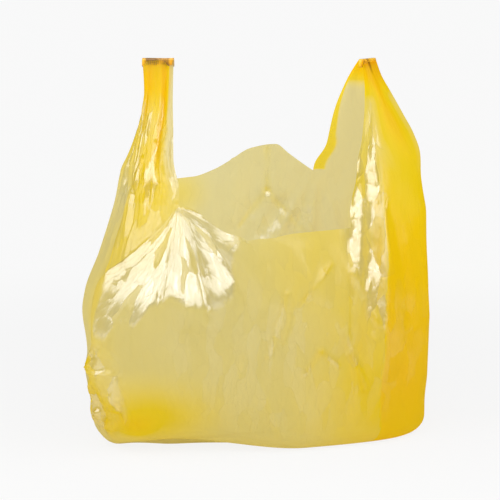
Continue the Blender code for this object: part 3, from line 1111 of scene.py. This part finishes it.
class Board:
    """A node tree that is being built."""

    def __init__(self, tree: bpy.types.NodeTree) -> None:
        """Clears the tree and starts on it."""
        self.tree = tree
        tree.nodes.clear()

    def add(
        self, kind: str, settings: dict | None = None, inputs: dict | None = None, output: int | str = 0
    ) -> Wire:
        """Adds a node.

        Args:
            kind: The node's type.
            settings: Attributes that are set first. A ramp's stops are (place, colour) pairs.
            inputs: Values or wires by socket name or number.
            output: The output that is returned.

        Returns:
            One output of the new node.
        """
        node = self.tree.nodes.new(kind)
        for name, value in (settings or {}).items():
            if name == "stops":
                self.fill_ramp(node.color_ramp, value)
            else:
                setattr(node, name, value)
        for name, value in (inputs or {}).items():
            socket = node.inputs[name]
            if isinstance(value, Wire):
                self.tree.links.new(value.socket, socket)
            else:
                socket.default_value = value
        return Wire(self, node.outputs[output]) if len(node.outputs) else Wire(self, None)

    def attribute(self, name: str, output: str = "Fac") -> Wire:
        """Reads one of the mesh's own attributes."""
        return self.add("ShaderNodeAttribute", {"attribute_name": name}, output=output)

    def clamped(self, operation: str, first: "Wire | float", second: "Wire | float") -> Wire:
        """Adds one Math node whose result is kept within 0 and 1."""
        return self.add("ShaderNodeMath", {"operation": operation, "use_clamp": True}, {0: first, 1: second})

    def vector(self, operation: str, *values: "Wire | tuple", output: str = "Vector") -> Wire:
        """Adds one Vector Math node."""
        return self.add("ShaderNodeVectorMath", {"operation": operation}, dict(enumerate(values)), output)

    def mixed(self, share: "Wire | float", first: Wire, second: Wire) -> Wire:
        """Mixes two shaders, from the first at a share of 0 to the second at 1."""
        return self.add("ShaderNodeMixShader", {}, {0: share, 1: first, 2: second})

    @staticmethod
    def fill_ramp(ramp: bpy.types.ColorRamp, stops: Sequence[tuple[float, Colour]]) -> None:
        """Sets a ramp's stops.

        Args:
            ramp: The ramp.
            stops: (place, colour) pairs in order of place.
        """
        while len(ramp.elements) > 1:
            ramp.elements.remove(ramp.elements[-1])
        ramp.elements[0].position, ramp.elements[0].color = stops[0]
        for place, colour in stops[1:]:
            ramp.elements.new(place).color = colour


def new_material(name: str) -> tuple[bpy.types.Material, Board]:
    """Makes an empty material.

    Args:
        name: The material's name.

    Returns:
        The material, and the board for its nodes.
    """
    material = bpy.data.materials.new(name)
    material.use_nodes = True
    return material, Board(material.node_tree)


@dataclass(frozen=True)
class FilmFinish:
    """Thin yellow blown film: hazy, see-through and glossy, and deeper in colour where it is layered, or
    where shade is painted in as layers.

    Its colour runs from pale through golden and amber to brown at most_layers. density is how much
    light one layer stops, tint the colour of what it lets straight through, and passing the share of
    the rest that glows on its far side. head_on, creased and grazing are how much the plain film, a
    crushed shard and film seen edge-on mirror.

    large and small are the shards to the metre, each with the width of its rim, grain how far they are
    drawn out along the folds and steep how far they lean. dull and fan_dull are the shares of them that
    mirror only dullest of their light. fan_growth is how fast they grow away from the fan's point,
    plain how much of them smooth film shows, and ripple the height of its soft ripples in metres.
    """

    name: str = "yellow_film"
    pale: Colour = (0.94, 0.86, 0.38, 1.0)
    golden: Colour = (0.90, 0.70, 0.004, 1.0)
    amber: Colour = (0.86, 0.55, 0.002, 1.0)
    brown: Colour = (0.30, 0.12, 0.006, 1.0)
    tint: Colour = (0.42, 0.34, 0.25, 1.0)
    most_layers: float = 8.0
    density: float = 0.64
    passing: float = 0.6
    roughness: float = 0.24
    grain: float = 0.34
    head_on: float = 0.012
    creased: float = 0.25
    grazing: float = 0.10
    steep: float = 0.36
    large: float = 90.0
    large_rim: float = 9.0
    small: float = 260.0
    small_rim: float = 5.0
    dull: float = 0.5
    fan_dull: float = 0.2
    dullest: float = 0.2
    fan_growth: float = 11.0
    plain: float = 0.06
    ripple: float = 0.0012

    def make(self) -> bpy.types.Material:
        """Makes the film's material.

        Returns:
            The material.
        """
        material, board = new_material(self.name)
        layers, crushed, leaning = (board.attribute(name) for name in ("layers", "crushed", "leaning"))
        deepness = (layers - 1.0) / (self.most_layers - 1.0)
        stops = (
            (0.0, self.pale), (0.13, self.golden), (0.45, self.amber), (0.75, self.amber), (1.0, self.brown),
        )
        colour = board.add("ShaderNodeValToRGB", {"stops": stops}, {0: deepness})
        bump, lit = self.bump(board, crushed, leaning)
        body = board.add("ShaderNodeBsdfPrincipled", {}, {
            "Base Color": colour, "Roughness": 0.5, "Normal": bump, "Specular IOR Level": 0.0,
        })
        glow = board.add("ShaderNodeBsdfTranslucent", {}, {"Color": colour, "Normal": bump})
        open_film = board.add("ShaderNodeBsdfTransparent", {}, {"Color": self.tint})
        clear = (1.0 - self.density) ** layers
        film = board.mixed(clear, board.mixed(self.passing, body, glow), open_film)
        shine = board.add("ShaderNodeBsdfGlossy", {}, {"Roughness": self.roughness, "Normal": bump})
        facing = board.add("ShaderNodeLayerWeight", {}, {"Blend": 0.5, "Normal": bump}, output="Facing")
        share = self.head_on + crushed.most(leaning) * lit * self.creased + self.grazing * facing ** 5.0
        board.add("ShaderNodeOutputMaterial", {}, {"Surface": board.mixed(share, film, shine)})
        return material

    def bump(self, board: Board, crushed: Wire, leaning: Wire) -> tuple[Wire, Wire]:
        """Crinkles finer than the mesh: long tilted shards where the film is crushed, and soft ripples.

        Args:
            board: The material's board.
            crushed: How crushed the film is.
            leaning: How much its folds fan out from a point.

        Returns:
            The normal, and how much of each shard is pressed smooth and so mirrors the light.
        """
        around, smooth_around = self.crinkles(board, "grain", self.dull)
        fanned, smooth_fanned = self.crinkles(board, "fan_grain", self.fan_dull)
        place = board.attribute("grain", "Vector")
        tall = board.add("ShaderNodeMapping", {}, {"Vector": place, "Scale": (1.0, 1.0, 0.4)})
        ripple = board.add("ShaderNodeTexNoise", {}, {"Vector": tall, "Scale": 40.0, "Detail": 2.0})
        fan = board.attribute("fan_grain", "Vector")
        reach = board.add("ShaderNodeSeparateXYZ", {}, {0: fan}, output="Z")
        near = board.clamped("MULTIPLY", reach, -self.fan_growth)
        calm = (1.0 - leaning) * (crushed * (1.0 - self.plain) + self.plain)
        total = around * calm + fanned * leaning * near + ripple * self.ripple
        smooth = smooth_around * (1.0 - leaning) + smooth_fanned * leaning
        bump = board.add("ShaderNodeBump", {}, {"Strength": 1.0, "Distance": 1.0, "Height": total})
        return bump, smooth

    def crinkles(self, board: Board, name: str, dull: float) -> tuple[Wire, Wire]:
        """Two sizes of shard along one of the film's own directions.

        Args:
            board: The material's board.
            name: The attribute that says where each point lies along the folds.
            dull: Share of the larger shards that are dull.

        Returns:
            The height, in metres, and how smooth the larger shard there is, from 0.2 to 1.
        """
        place = board.attribute(name, "Vector")
        tall = board.add("ShaderNodeMapping", {}, {"Vector": place, "Scale": (1.0, 1.0, self.grain)})
        warp = board.add("ShaderNodeTexNoise", {}, {"Vector": place, "Scale": 40.0}, output="Color")
        bent = board.vector("MULTIPLY_ADD", warp, (0.01, 0.01, 0.01), tall)
        large, shade = self.shards(board, bent, self.large, self.steep, self.large_rim)
        small, _ = self.shards(board, bent, self.small, self.steep * 0.75, self.small_rim)
        tone = board.add("ShaderNodeSeparateXYZ", {}, {0: shade}, output="Y")
        smooth = board.add("ShaderNodeMapRange", {}, {
            "Value": tone, "From Min": dull - 0.08, "From Max": dull + 0.08,
            "To Min": self.dullest, "To Max": 1.0,
        })
        return large + small, smooth

    @staticmethod
    def shards(board: Board, place: Wire, scale: float, steep: float, rim: float) -> tuple[Wire, Wire]:
        """Height of flat shards with a groove round each.

        Args:
            board: The material's board.
            place: Where each point lies along the folds.
            scale: Shards to the metre.
            steep: How far a shard may lean.
            rim: How narrow the groove is.

        Returns:
            The height, in metres, and a random colour for each shard.
        """
        cell = board.add("ShaderNodeTexVoronoi", {"feature": "F1"}, {"Vector": place, "Scale": scale})
        feature = {"feature": "DISTANCE_TO_EDGE"}
        side = board.add("ShaderNodeTexVoronoi", feature, {"Vector": place, "Scale": scale})
        node = cell.socket.node
        corner, shade = Wire(board, node.outputs["Position"]), Wire(board, node.outputs["Color"])
        away, lean = board.vector("SUBTRACT", place, corner), board.vector("SUBTRACT", shade, (0.5, 0.5, 0.5))
        height = board.vector("DOT_PRODUCT", away, lean, output="Value")
        edge = board.clamped("SUBTRACT", 1.0, side * rim)
        return height * steep - edge * (0.05 * steep / scale), shade


@dataclass(frozen=True)
class WeldFinish:
    """Film melted together under the sealing bar: dark amber and brown, in streaks.

    light moves all its streaks towards gold.
    """

    name: str = "melted_film"
    amber: Colour = (0.74, 0.36, 0.006, 1.0)
    gold: Colour = (0.88, 0.52, 0.02, 1.0)
    brown: Colour = (0.24, 0.11, 0.006, 1.0)
    roughness: float = 0.3
    light: float = 0.0

    def make(self) -> bpy.types.Material:
        """Makes the weld's material.

        Returns:
            The material.
        """
        material, board = new_material(self.name)
        place = board.add("ShaderNodeTexCoord", output="Object")
        long = board.add("ShaderNodeMapping", {}, {"Vector": place, "Scale": (1.0, 1.0, 0.45)})
        streak = board.add("ShaderNodeTexNoise", {}, {"Vector": long, "Scale": 130.0, "Detail": 3.0})
        stops = ((0.46, self.brown), (0.58, self.amber), (0.72, self.gold))
        colour = board.add("ShaderNodeValToRGB", {"stops": stops}, {0: streak + self.light})
        bump = board.add("ShaderNodeBump", {}, {"Strength": 0.5, "Distance": 0.0006, "Height": streak})
        body = board.add("ShaderNodeBsdfPrincipled", {}, {
            "Base Color": colour, "Roughness": self.roughness, "Normal": bump, "Coat Weight": 0.3,
        })
        board.add("ShaderNodeOutputMaterial", {}, {"Surface": body})
        return material


@dataclass
class RibRow:
    """Geometry Nodes that set a row of pressed ribs along a straight weld."""

    name: str = "pressed_ribs"
    tree: bpy.types.GeometryNodeTree | None = None
    sizes: tuple[tuple[str, str], ...] = (
        ("Count", "Int"), ("Run", "Float"), ("Rib", "Vector"), ("Uneven", "Float"), ("Place", "Vector"),
        ("Turn", "Vector"), ("Seed", "Int"), ("Finish", "Material"),
    )

    def build(self) -> None:
        """Builds the tree, with its sizes as named inputs."""
        tree = bpy.data.node_groups.new(self.name, "GeometryNodeTree")
        inputs = (("Geometry", "Geometry"), *self.sizes)
        for name, kind in inputs:
            tree.interface.new_socket(name, in_out="INPUT", socket_type=f"NodeSocket{kind}")
        tree.interface.new_socket("Geometry", in_out="OUTPUT", socket_type="NodeSocketGeometry")
        board = Board(tree)
        given = board.add("NodeGroupInput").socket.node.outputs
        wire = {name: Wire(board, given[name]) for name, _ in inputs}
        half = board.add("ShaderNodeCombineXYZ", {}, {0: wire["Run"] * -0.5})
        end = board.add("ShaderNodeCombineXYZ", {}, {0: wire["Run"] * 0.5})
        line = board.add("GeometryNodeMeshLine", {"mode": "END_POINTS"}, {
            "Count": wire["Count"], "Start Location": half, "Offset": end,
        })
        rib = board.add("GeometryNodeMeshCube", {}, {"Size": wire["Rib"]})
        low = 1.0 - wire["Uneven"]
        tall = board.add("FunctionNodeRandomValue", {"data_type": "FLOAT"}, {"Seed": wire["Seed"]}, output=1)
        node = tall.socket.node
        lowest = next(i for i in node.inputs if i.name == "Min" and i.type == "VALUE")
        tree.links.new(low.socket, lowest)
        scale = board.add("ShaderNodeCombineXYZ", {}, {0: 1.0, 1: 1.0, 2: tall})
        spread = {"Points": line, "Instance": rib, "Scale": scale}
        ribs = board.add("GeometryNodeInstanceOnPoints", {}, spread)
        real = board.add("GeometryNodeRealizeInstances", {}, {"Geometry": ribs})
        set_down = board.add("GeometryNodeTransform", {}, {
            "Geometry": real, "Translation": wire["Place"], "Rotation": wire["Turn"],
        })
        joined = board.add("GeometryNodeJoinGeometry", {}, {"Geometry": set_down})
        tree.links.new(wire["Geometry"].socket, joined.socket.node.inputs["Geometry"])
        coat = {"Geometry": joined, "Material": wire["Finish"]}
        dressed = board.add("GeometryNodeSetMaterial", {}, coat)
        board.add("NodeGroupOutput", {}, {"Geometry": dressed})
        self.tree = tree

    def press(self, piece: bpy.types.Object, values: dict) -> None:
        """Adds the ribs to a piece and leaves it as a plain mesh.

        Args:
            piece: The piece that gets the ribs.
            values: The tree's inputs by name.
        """
        if self.tree is None:
            self.build()
        modifier = piece.modifiers.new("Pressed ribs", "NODES")
        modifier.node_group = self.tree
        for item in self.tree.interface.items_tree:
            if item.in_out == "INPUT" and item.name in values:
                modifier[item.identifier] = values[item.name]
        graph = bpy.context.evaluated_depsgraph_get()
        mesh = bpy.data.meshes.new_from_object(piece.evaluated_get(graph), depsgraph=graph)
        piece.modifiers.clear()
        piece.data = mesh


@dataclass
class HandleWeld:
    """The block of melted film across the top of one handle.

    spare is how far it stands out past the gathered film, ragged how far its top drops, and margin the
    width that has no ribs.
    """

    name: str
    handle: HandleShape
    size: WeldSize
    middle: np.ndarray
    seed: int
    columns: int = 48
    levels: int = 7
    squareness: float = 7.0
    spare: float = -0.3
    ragged: float = 0.55
    ribs: int = 15
    rib: float = 0.7
    margin: float = 5.0
    uneven: float = 0.4

    def make(self, ribs: RibRow, finish: bpy.types.Material) -> bpy.types.Object:
        """Makes the weld with its ribs.

        Args:
            ribs: The rows of ribs.
            finish: The weld's material.

        Returns:
            The weld's object.
        """
        points, quads = self.block()
        mesh = new_mesh(self.name, points, quads, finish)
        mesh.shade_smooth()
        piece = put(self.name, mesh)
        size = self.size
        place = self.placed(np.array([[0.0, 0.0, -size.height / 2]]))[0] * MM
        rib = (self.rib * MM, (size.thickness + self.rib) * MM, size.height * 0.7 * MM)
        ribs.press(piece, {
            "Count": self.ribs, "Run": (size.width - self.margin) * MM, "Rib": rib, "Uneven": self.uneven,
            "Place": tuple(place), "Turn": (0.0, 0.0, self.turn()), "Seed": self.seed, "Finish": finish,
        })
        return piece

    def turn(self) -> float:
        """The weld's turn about Z, in radians."""
        return self.handle.side * math.radians(self.handle.weld_turn)

    def placed(self, points: np.ndarray) -> np.ndarray:
        """Turns the weld's own points to the handle's top and centres them.

        Args:
            points: Places from the middle of the weld's top.

        Returns:
            The places beside the bag's middle.
        """
        c, s = math.cos(self.turn()), math.sin(self.turn())
        x, y = points[:, 0] * c - points[:, 1] * s, points[:, 0] * s + points[:, 1] * c
        x = x + self.handle.side * self.handle.weld_middle
        return np.stack((x, y, points[:, 2] + self.handle.top), axis=1) - self.middle

    def block(self) -> tuple[np.ndarray, list]:
        """Makes the block's form, with pleats pressed flat in its sides and a ragged top.

        Returns:
            Its points and faces.
        """
        size, rng = self.size, np.random.default_rng(self.seed)
        turns = np.linspace(0, 2 * np.pi, self.columns, endpoint=False)
        across, deep = squarish(turns, self.squareness)
        pleats = 1 + 0.1 * np.sin(5 * turns + 1) + 0.07 * np.sin(13 * turns)
        ragged = rng.uniform(-self.ragged, 0.0, self.columns)
        rows = []
        for level in np.linspace(0, 1, self.levels):
            swell = 1 - 0.12 * (2 * level - 1) ** 4
            x = across * (size.width / 2 + self.spare) * (1 - 0.02 * level**6)
            y = deep * (size.thickness / 2 + self.spare) * swell * pleats
            foot = (1 - level) ** 3 * 0.8 * np.sin(9 * turns)
            z = -size.height * (1 - level) + ragged * level**3 + foot
            rows.append(np.stack((x, y, z), axis=1))
        points = np.vstack(rows)
        numbers = np.arange(len(points)).reshape(self.levels, self.columns)
        quads = FilmBuilder.round_quads(numbers).tolist()
        caps = [numbers[0][::-1].tolist(), numbers[-1].tolist()]
        return self.placed(points), quads + caps


@dataclass
class BottomSeal:
    """The welded line along the middle of the floor, with its ribs pressed across it."""

    middle: np.ndarray
    start: float = -112.0
    end: float = 150.0
    width: float = 5.0
    thickness: float = 0.3
    ribs: int = 150
    rib: float = 0.7
    margin: float = 4.0
    uneven: float = 0.2
    height: float = 0.55
    seed: int = 5

    def make(self, ribs: RibRow, finish: bpy.types.Material) -> bpy.types.Object:
        """Makes the seal with its ribs.

        Args:
            ribs: The rows of ribs.
            finish: The seal's material.

        Returns:
            The seal's object.
        """
        x = np.linspace(self.start, self.end, 64)
        y = self.width / 2 * np.ones_like(x)
        low, high = self.height - self.thickness / 2, self.height + self.thickness / 2
        corners = ((-1, low), (1, low), (1, high), (-1, high))
        points = np.stack([np.stack((x, s * y, np.full_like(x, z)), axis=1) for s, z in corners], axis=1)
        numbers = np.arange(points.shape[0] * 4).reshape(-1, 4)
        quads = FilmBuilder.round_quads(numbers)[:, ::-1].tolist()
        quads += [numbers[0].tolist(), numbers[-1][::-1].tolist()]
        name = "bottom_seal"
        piece = put(name, new_mesh(name, points.reshape(-1, 3) - self.middle, quads, finish))
        centre = np.array(((self.start + self.end) / 2, 0.0, self.height)) - self.middle
        rib = (self.rib * MM, self.width * 0.9 * MM, self.thickness * 1.8 * MM)
        ribs.press(piece, {
            "Count": self.ribs, "Run": (self.end - self.start - self.margin) * MM, "Rib": rib,
            "Uneven": self.uneven, "Place": tuple(centre * MM), "Turn": (0.0, 0.0, 0.0), "Seed": self.seed,
            "Finish": finish,
        })
        return piece


@dataclass
class BagFilm:
    """The film of the whole bag, as one dressed piece."""

    builder: FilmBuilder
    finish: FilmFinish
    middle: np.ndarray | None = None

    def make(self) -> bpy.types.Object:
        """Makes the film's object.

        Returns:
            The object.
        """
        film, self.middle = self.builder.build()
        mesh = new_mesh("bag_film_sheet", film.points, film.quads.tolist(), self.finish.make())
        mesh.shade_smooth()
        uv = mesh.uv_layers.new(name="flat")
        corners = np.zeros(len(mesh.loops), int)
        mesh.loops.foreach_get("vertex_index", corners)
        uv.data.foreach_set("uv", (film.flat[corners] * MM).ravel())
        for name in ("layers", "crushed", "leaning"):
            mesh.attributes.new(name, "FLOAT", "POINT").data.foreach_set("value", getattr(film, name))
        for name in ("grain", "fan_grain"):
            places = (getattr(film, name) * MM).ravel()
            mesh.attributes.new(name, "FLOAT_VECTOR", "POINT").data.foreach_set("vector", places)
        return put("bag_sheet", mesh)


def towards(azimuth: float, elevation: float) -> Vector:
    """Unit direction out from the bag, by degrees from its front and above the horizon."""
    a, e = math.radians(azimuth), math.radians(elevation)
    return Vector((math.sin(a) * math.cos(e), -math.cos(a) * math.cos(e), math.sin(e)))


@dataclass(frozen=True)
class Softbox:
    """A rectangular light that faces the bag, with size its width and height in metres."""

    name: str
    azimuth: float
    elevation: float
    away: float
    size: tuple[float, float]
    aim: float = 0.2

    def make(self, radiance: float) -> None:
        """Makes the light.

        Args:
            radiance: How bright its face is, beside white.
        """
        back = towards(self.azimuth, self.elevation)
        data = bpy.data.lights.new(self.name, "AREA")
        data.shape = "RECTANGLE"
        data.size, data.size_y = self.size
        data.energy = math.pi * self.size[0] * self.size[1] * radiance
        light = put(self.name, data)
        light.location = Vector((0, 0, self.aim)) + back * self.away
        light.rotation_euler = back.to_track_quat("Z", "Y").to_euler()


@dataclass
class Studio:
    """Pale floor, white surroundings, soft lights and the camera, in metres.

    aim_across and aim_up move the picture's middle. fill is how bright the world lights the bag and
    mirrored how bright the film mirrors it, beside what the camera sees. The floor takes a shadow in
    full up to shadow_near, where shadow_glow of it looks white in any case, and none past shadow_far.
    """

    azimuth: float = -17.0
    elevation: float = 9.0
    distance: float = 1.9
    target_height: float = 0.19
    frame_width: float = 0.5
    sensor: float = 36.0
    aim_across: float = 0.0065
    aim_up: float = 0.001
    white: float = 0.944
    fill: float = 0.22
    mirrored: float = 0.05
    key: float = 2.22
    floor_glow: float = 1.0
    floor_white: float = 0.88
    shadow_near: float = 0.3
    shadow_far: float = 1.1
    shadow_glow: float = 0.9
    floor_half: float = 4.0
    floor_drop: float = 0.0005
    softboxes: tuple[Softbox, ...] = (
        Softbox("left_softbox", -42, 37, 1.1, (1.15, 1.0)),
        Softbox("right_softbox", 14, 38, 1.1, (1.1, 0.95)),
        Softbox("right_side_softbox", 64, 40, 1.2, (0.8, 0.7)),
        Softbox("left_side_softbox", -98, 30, 1.2, (0.9, 0.9)),
    )

    def make(self) -> None:
        """Makes the camera, the world, the lights and the floor."""
        self.make_camera()
        self.make_world()
        for softbox in self.softboxes:
            softbox.make(self.key)
        self.make_floor()

    def axes(self) -> tuple[Vector, Vector, Vector]:
        """The camera's directions.

        Returns:
            Right, up and back.
        """
        back, turn = towards(self.azimuth, self.elevation), math.radians(self.azimuth)
        right = Vector((math.cos(turn), math.sin(turn), 0))
        return right, back.cross(right), back

    def make_camera(self) -> None:
        """Sets the camera at the photograph's angle."""
        right, up, back = self.axes()
        target = Vector((0, 0, self.target_height)) - right * self.aim_across - up * self.aim_up
        data = bpy.data.cameras.new("camera")
        data.sensor_width = self.sensor
        data.lens = self.sensor * self.distance / self.frame_width
        camera = put("camera", data)
        camera.matrix_world = Matrix((
            (right.x, up.x, back.x, 0), (right.y, up.y, back.y, 0), (right.z, up.z, back.z, 0), (0, 0, 0, 1),
        ))
        camera.location = target + back * self.distance
        bpy.context.scene.camera = camera

    def make_world(self) -> None:
        """White surroundings to look at and through, and a plainer fill light."""
        world = bpy.data.worlds.new("surroundings")
        bpy.context.scene.world = world
        world.use_nodes = True
        board = Board(world.node_tree)
        strength = self.fill + (1.0 - self.fill) * self.seen(board)
        white = (self.white, self.white, self.white, 1)
        sky = board.add("ShaderNodeBackground", {}, {"Color": white, "Strength": strength})
        board.add("ShaderNodeOutputWorld", {}, {"Surface": sky})

    def seen(self, board: Board) -> Wire:
        """How much a ray sees the white surroundings: in full, or in part where film mirrors them.

        Args:
            board: The board of the material or world.

        Returns:
            The share that is seen.
        """
        camera = board.add("ShaderNodeLightPath", output="Is Camera Ray")
        outputs = camera.socket.node.outputs
        passing, glossy = Wire(board, outputs["Is Transmission Ray"]), Wire(board, outputs["Is Glossy Ray"])
        return camera.most(passing).most(glossy * self.mirrored)

    def make_floor(self) -> None:
        """A pale floor that keeps the bag's shadow and looks as white as the surroundings."""
        material, board = new_material("pale_floor")
        pale = (self.floor_white, self.floor_white, self.floor_white, 1)
        plain = board.add("ShaderNodeBsdfDiffuse", {}, {"Color": pale})
        white = (self.white, self.white, self.white, 1)
        bright = board.add("ShaderNodeEmission", {}, {"Color": white, "Strength": self.floor_glow})
        place = board.add("ShaderNodeTexCoord", output="Object")
        far = board.vector("LENGTH", place, output="Value")
        rim = board.add("ShaderNodeMapRange", {"interpolation_type": "SMOOTHSTEP"}, {
            "Value": far, "From Min": self.shadow_near, "From Max": self.shadow_far,
            "To Min": self.shadow_glow, "To Max": 1.0,
        })
        surface = board.mixed(self.seen(board) * rim, plain, bright)
        board.add("ShaderNodeOutputMaterial", {}, {"Surface": surface})
        corners = np.array(((-1, -1, 0), (1, -1, 0), (1, 1, 0), (-1, 1, 0))) * self.floor_half / MM
        floor = put("floor", new_mesh("floor", corners, [(0, 1, 2, 3)], material))
        floor.location.z = -self.floor_drop


# The larger folds, which the solid has too.
CREASES = (
    Crease((-134, -74, 150), (-66, -90, 150), 20, 3),
    Crease((-66, -90, 152), (-18, -92, 176), 20, 2),
    Crease((-158, -45, 84), (-136, -70, 14), 16, 6),
    Crease((124, -80, 62), (152, -70, 8), 16, -5),
    Crease((20, -96, 196), (66, -86, 120), 14, 4),
    Crease((96, -84, 178), (70, -86, 96), 12, -4),
    Crease((33, 84, 278), (10, 84, 170), 13, 5),
    Crease((-52, -92, 208), (-18, -90, 150), 13, 4),
)
# The film that hangs from the left handle and fans out over the front.
CAPE = Cape(
    apex=(-92, -53, 244),
    edge=(
        (-47, 78), (-40, 88), (-33, 96), (-26, 132), (-21, 128), (-19, 106), (-12, 108), (-8, 90),
        (6, 82), (14, 92), (21, 98), (28, 103), (36, 100), (47, 84), (63, 66), (78, 48),
    ),
    height=10.5,
    grooves=(
        (-4, 2.4, 1.6), (-17, 1.4, 1.2), (9, 1.8, 1.4), (17, 1.5, 1.2), (24, 5.0, 4.0), (41, 2.0, 1.5),
    ),
)
# Crushed areas, which are finer than the solid.
CRUMPLES = (
    Crumple((-80, -80, 190), (72, 64), (22, 56), 0.10, 11, apex=(-92, -53, 256), shine=0.1),
    Crumple((97, -60, 240), (22, 88), (15, 40), 0.2, 23),
    Crumple((104, -78, 150), (11, 44), (9, 24), 0.24, 29),
    Crumple((-113, -10, 285), (90, 52), (10, 46), 0.34, 31, shine=0.8),
    Crumple((-150, -10, 215), (40, 60), (16, 50), 0.14, 37, shine=0.4),
    Crumple((-128, -40, 235), (36, 62), (9, 60), 0.2, 43, shine=0.35),
    Crumple((-160, -28, 64), (34, 50), (15, 20), 0.46, 41),
    Crumple((60, 80, 215), (140, 60), (36, 54), 0.07, 53, shine=0.12),
    Crumple((45, 82, 210), (48, 30), (26, 36), 0.15, 59, shine=0.5),
    Crumple((150, 0, 200), (110, 110), (34, 80), 0.07, 61, shine=0.05),
    Crumple((20, -85, 110), (130, 90), (24, 58), 0.12, 67, shine=0.22),
)
# Sharp creases, which are finer than the solid.
SCORES = (
    Crease((5, -90, 160), (-12, -88, 100), 3.2, 2.6),
    Crease((53, -82, 184), (20, -88, 150), 3.0, 2.2),
    Crease((74, -83, 170), (72, -83, 118), 2.6, -2.2),
    Crease((41, -87, 100), (60, -85, 84), 3.0, 1.9),
    Crease((41, -87, 100), (26, -87, 78), 3.0, 1.6),
    Crease((-15, -86, 54), (0, -84, 16), 3.0, 1.9),
    Crease((76, -83, 178), (104, -82, 122), 3.2, 2.6),
    Crease((35, 67, 283), (39, 80, 238), 3.4, 2.6),
    Crease((39, 80, 238), (12, 87, 201), 3.4, 2.6),
    Crease((39, 80, 238), (75, 79, 196), 3.4, 2.6),
    Crease((-167, -31, 86), (-150, -52, 78), 9.0, 4.0),
    Crease((-163, 11, 38), (-158, -38, 30), 8.0, 3.5),
    Crease((80, -66, 222), (92, -34, 297), 3.0, 1.2),
    Crease((92, -34, 297), (104, -17, 337), 3.0, 1.0),
    Crease((18, -92, 175), (2, -88, 112), 3.2, 2.4),
    Crease((60, -84, 140), (88, -83, 60), 3.4, 2.4),
    Crease((-40, -90, 100), (-52, -86, 30), 3.4, 2.0),
    Crease((-92, -53, 243), (-36, -80, 214), 5.0, 2.5),
    Crease((-126, -20, 255), (-155, -14, 178), 5.0, 3.0),
    Crease((-119, -23, 285), (-140, -30, 200), 4.0, 2.4),
    Crease((-107, -25, 300), (-122, -42, 215), 4.0, 2.2),
)
# Where the film lies in more layers than one, with painted shade over the right side.
PATCHES = (
    # Partly painted shade: the deeper colour runs on round the right side, which turns away from the lights.
    FoldedBand(
        crease=((120, -40, 275), (117, -55, 240), (115, -71, 190), (113, -78, 150), (112, -82, 100),
                (104, -82, 55), (108, -78, 12)),
        reach=235.0,
        extra=((-30, 0.8), (20, 1.5), (120, 2.0), (205, 1.7), (245, 0.7), (268, 0.25), (290, 0.0)),
    ),
    LayerPatch((-160, -25, 150), (30, 70), 0.5, 0.6),
    LayerPatch((-122, -45, 240), (34, 46), 0.8, 0.8),
    LayerPatch((-128, -70, 38), (50, 28), 0.9, 1.0),
    LayerPatch((-140, -60, 30), (16, 10), 0.9, 0.9),
    LayerPatch((40, -84, 40), (150, 60), 0.2, 0.9),
    LayerPatch((-54, 76, 236), (24, 20), 0.55, 1.0),
    LayerPatch((62, -86, 190), (72, 60), 0.5, 0.8),
    LayerPatch((-160, -20, 60), (34, 50), 0.5, 0.6),
    LayerPatch((108, -80, 60), (60, 70), 0.7, 0.9),
)


def fans(shape: BagShape) -> tuple[Fan, ...]:
    """The folds that spread from the corners of the mouth and from the right weld.

    Args:
        shape: The bag's outline.

    Returns:
        The folds.
    """
    return (
        Fan(Face.FRONT, 8 - shape.mouth_left, 250, -38, 58, 4, 135, 2.5),
        Fan(Face.FRONT, shape.right.weld_middle - 7, shape.right.top - 28, -14, 10, 2, 300, 3.0),
        Fan(Face.BACK, 2 - shape.mouth_left, 262, -30, 45, 3, 120, 3.0),
        Fan(Face.BACK, shape.back_mouth_right + 7, 270, -45, 25, 3, 130, 3.5),
    )


def main() -> None:
    """Builds the studio and the bag."""
    logging.basicConfig(level=logging.INFO, format="%(name)s: %(message)s")
    bpy.context.scene.view_settings.view_transform = "Standard"
    Studio().make()
    shape = BagShape()
    builder = FilmBuilder(shape, fans(shape), CREASES, CAPE, CRUMPLES, SCORES, PATCHES)
    film = BagFilm(builder, FilmFinish())
    bag = film.make()
    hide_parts("bag_film")
    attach(bag, "root")
    LOG.info("film: %d points, %d faces", len(bag.data.vertices), len(bag.data.polygons))
    ribs, melted = RibRow(), WeldFinish().make()
    lighter = WeldFinish(name="melted_film_thin", light=0.14).make()
    welds = (
        HandleWeld("right_weld", shape.right, shape.weld, film.middle, 3),
        HandleWeld("left_weld", shape.left, shape.weld, film.middle, 8),
        BottomSeal(film.middle),
    )
    for weld in welds:
        piece = weld.make(ribs, lighter if weld is welds[0] else melted)
        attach(piece, "root")
        LOG.info("%s: %d faces", piece.name, len(piece.data.polygons))


if __name__ == "__main__":
    main()
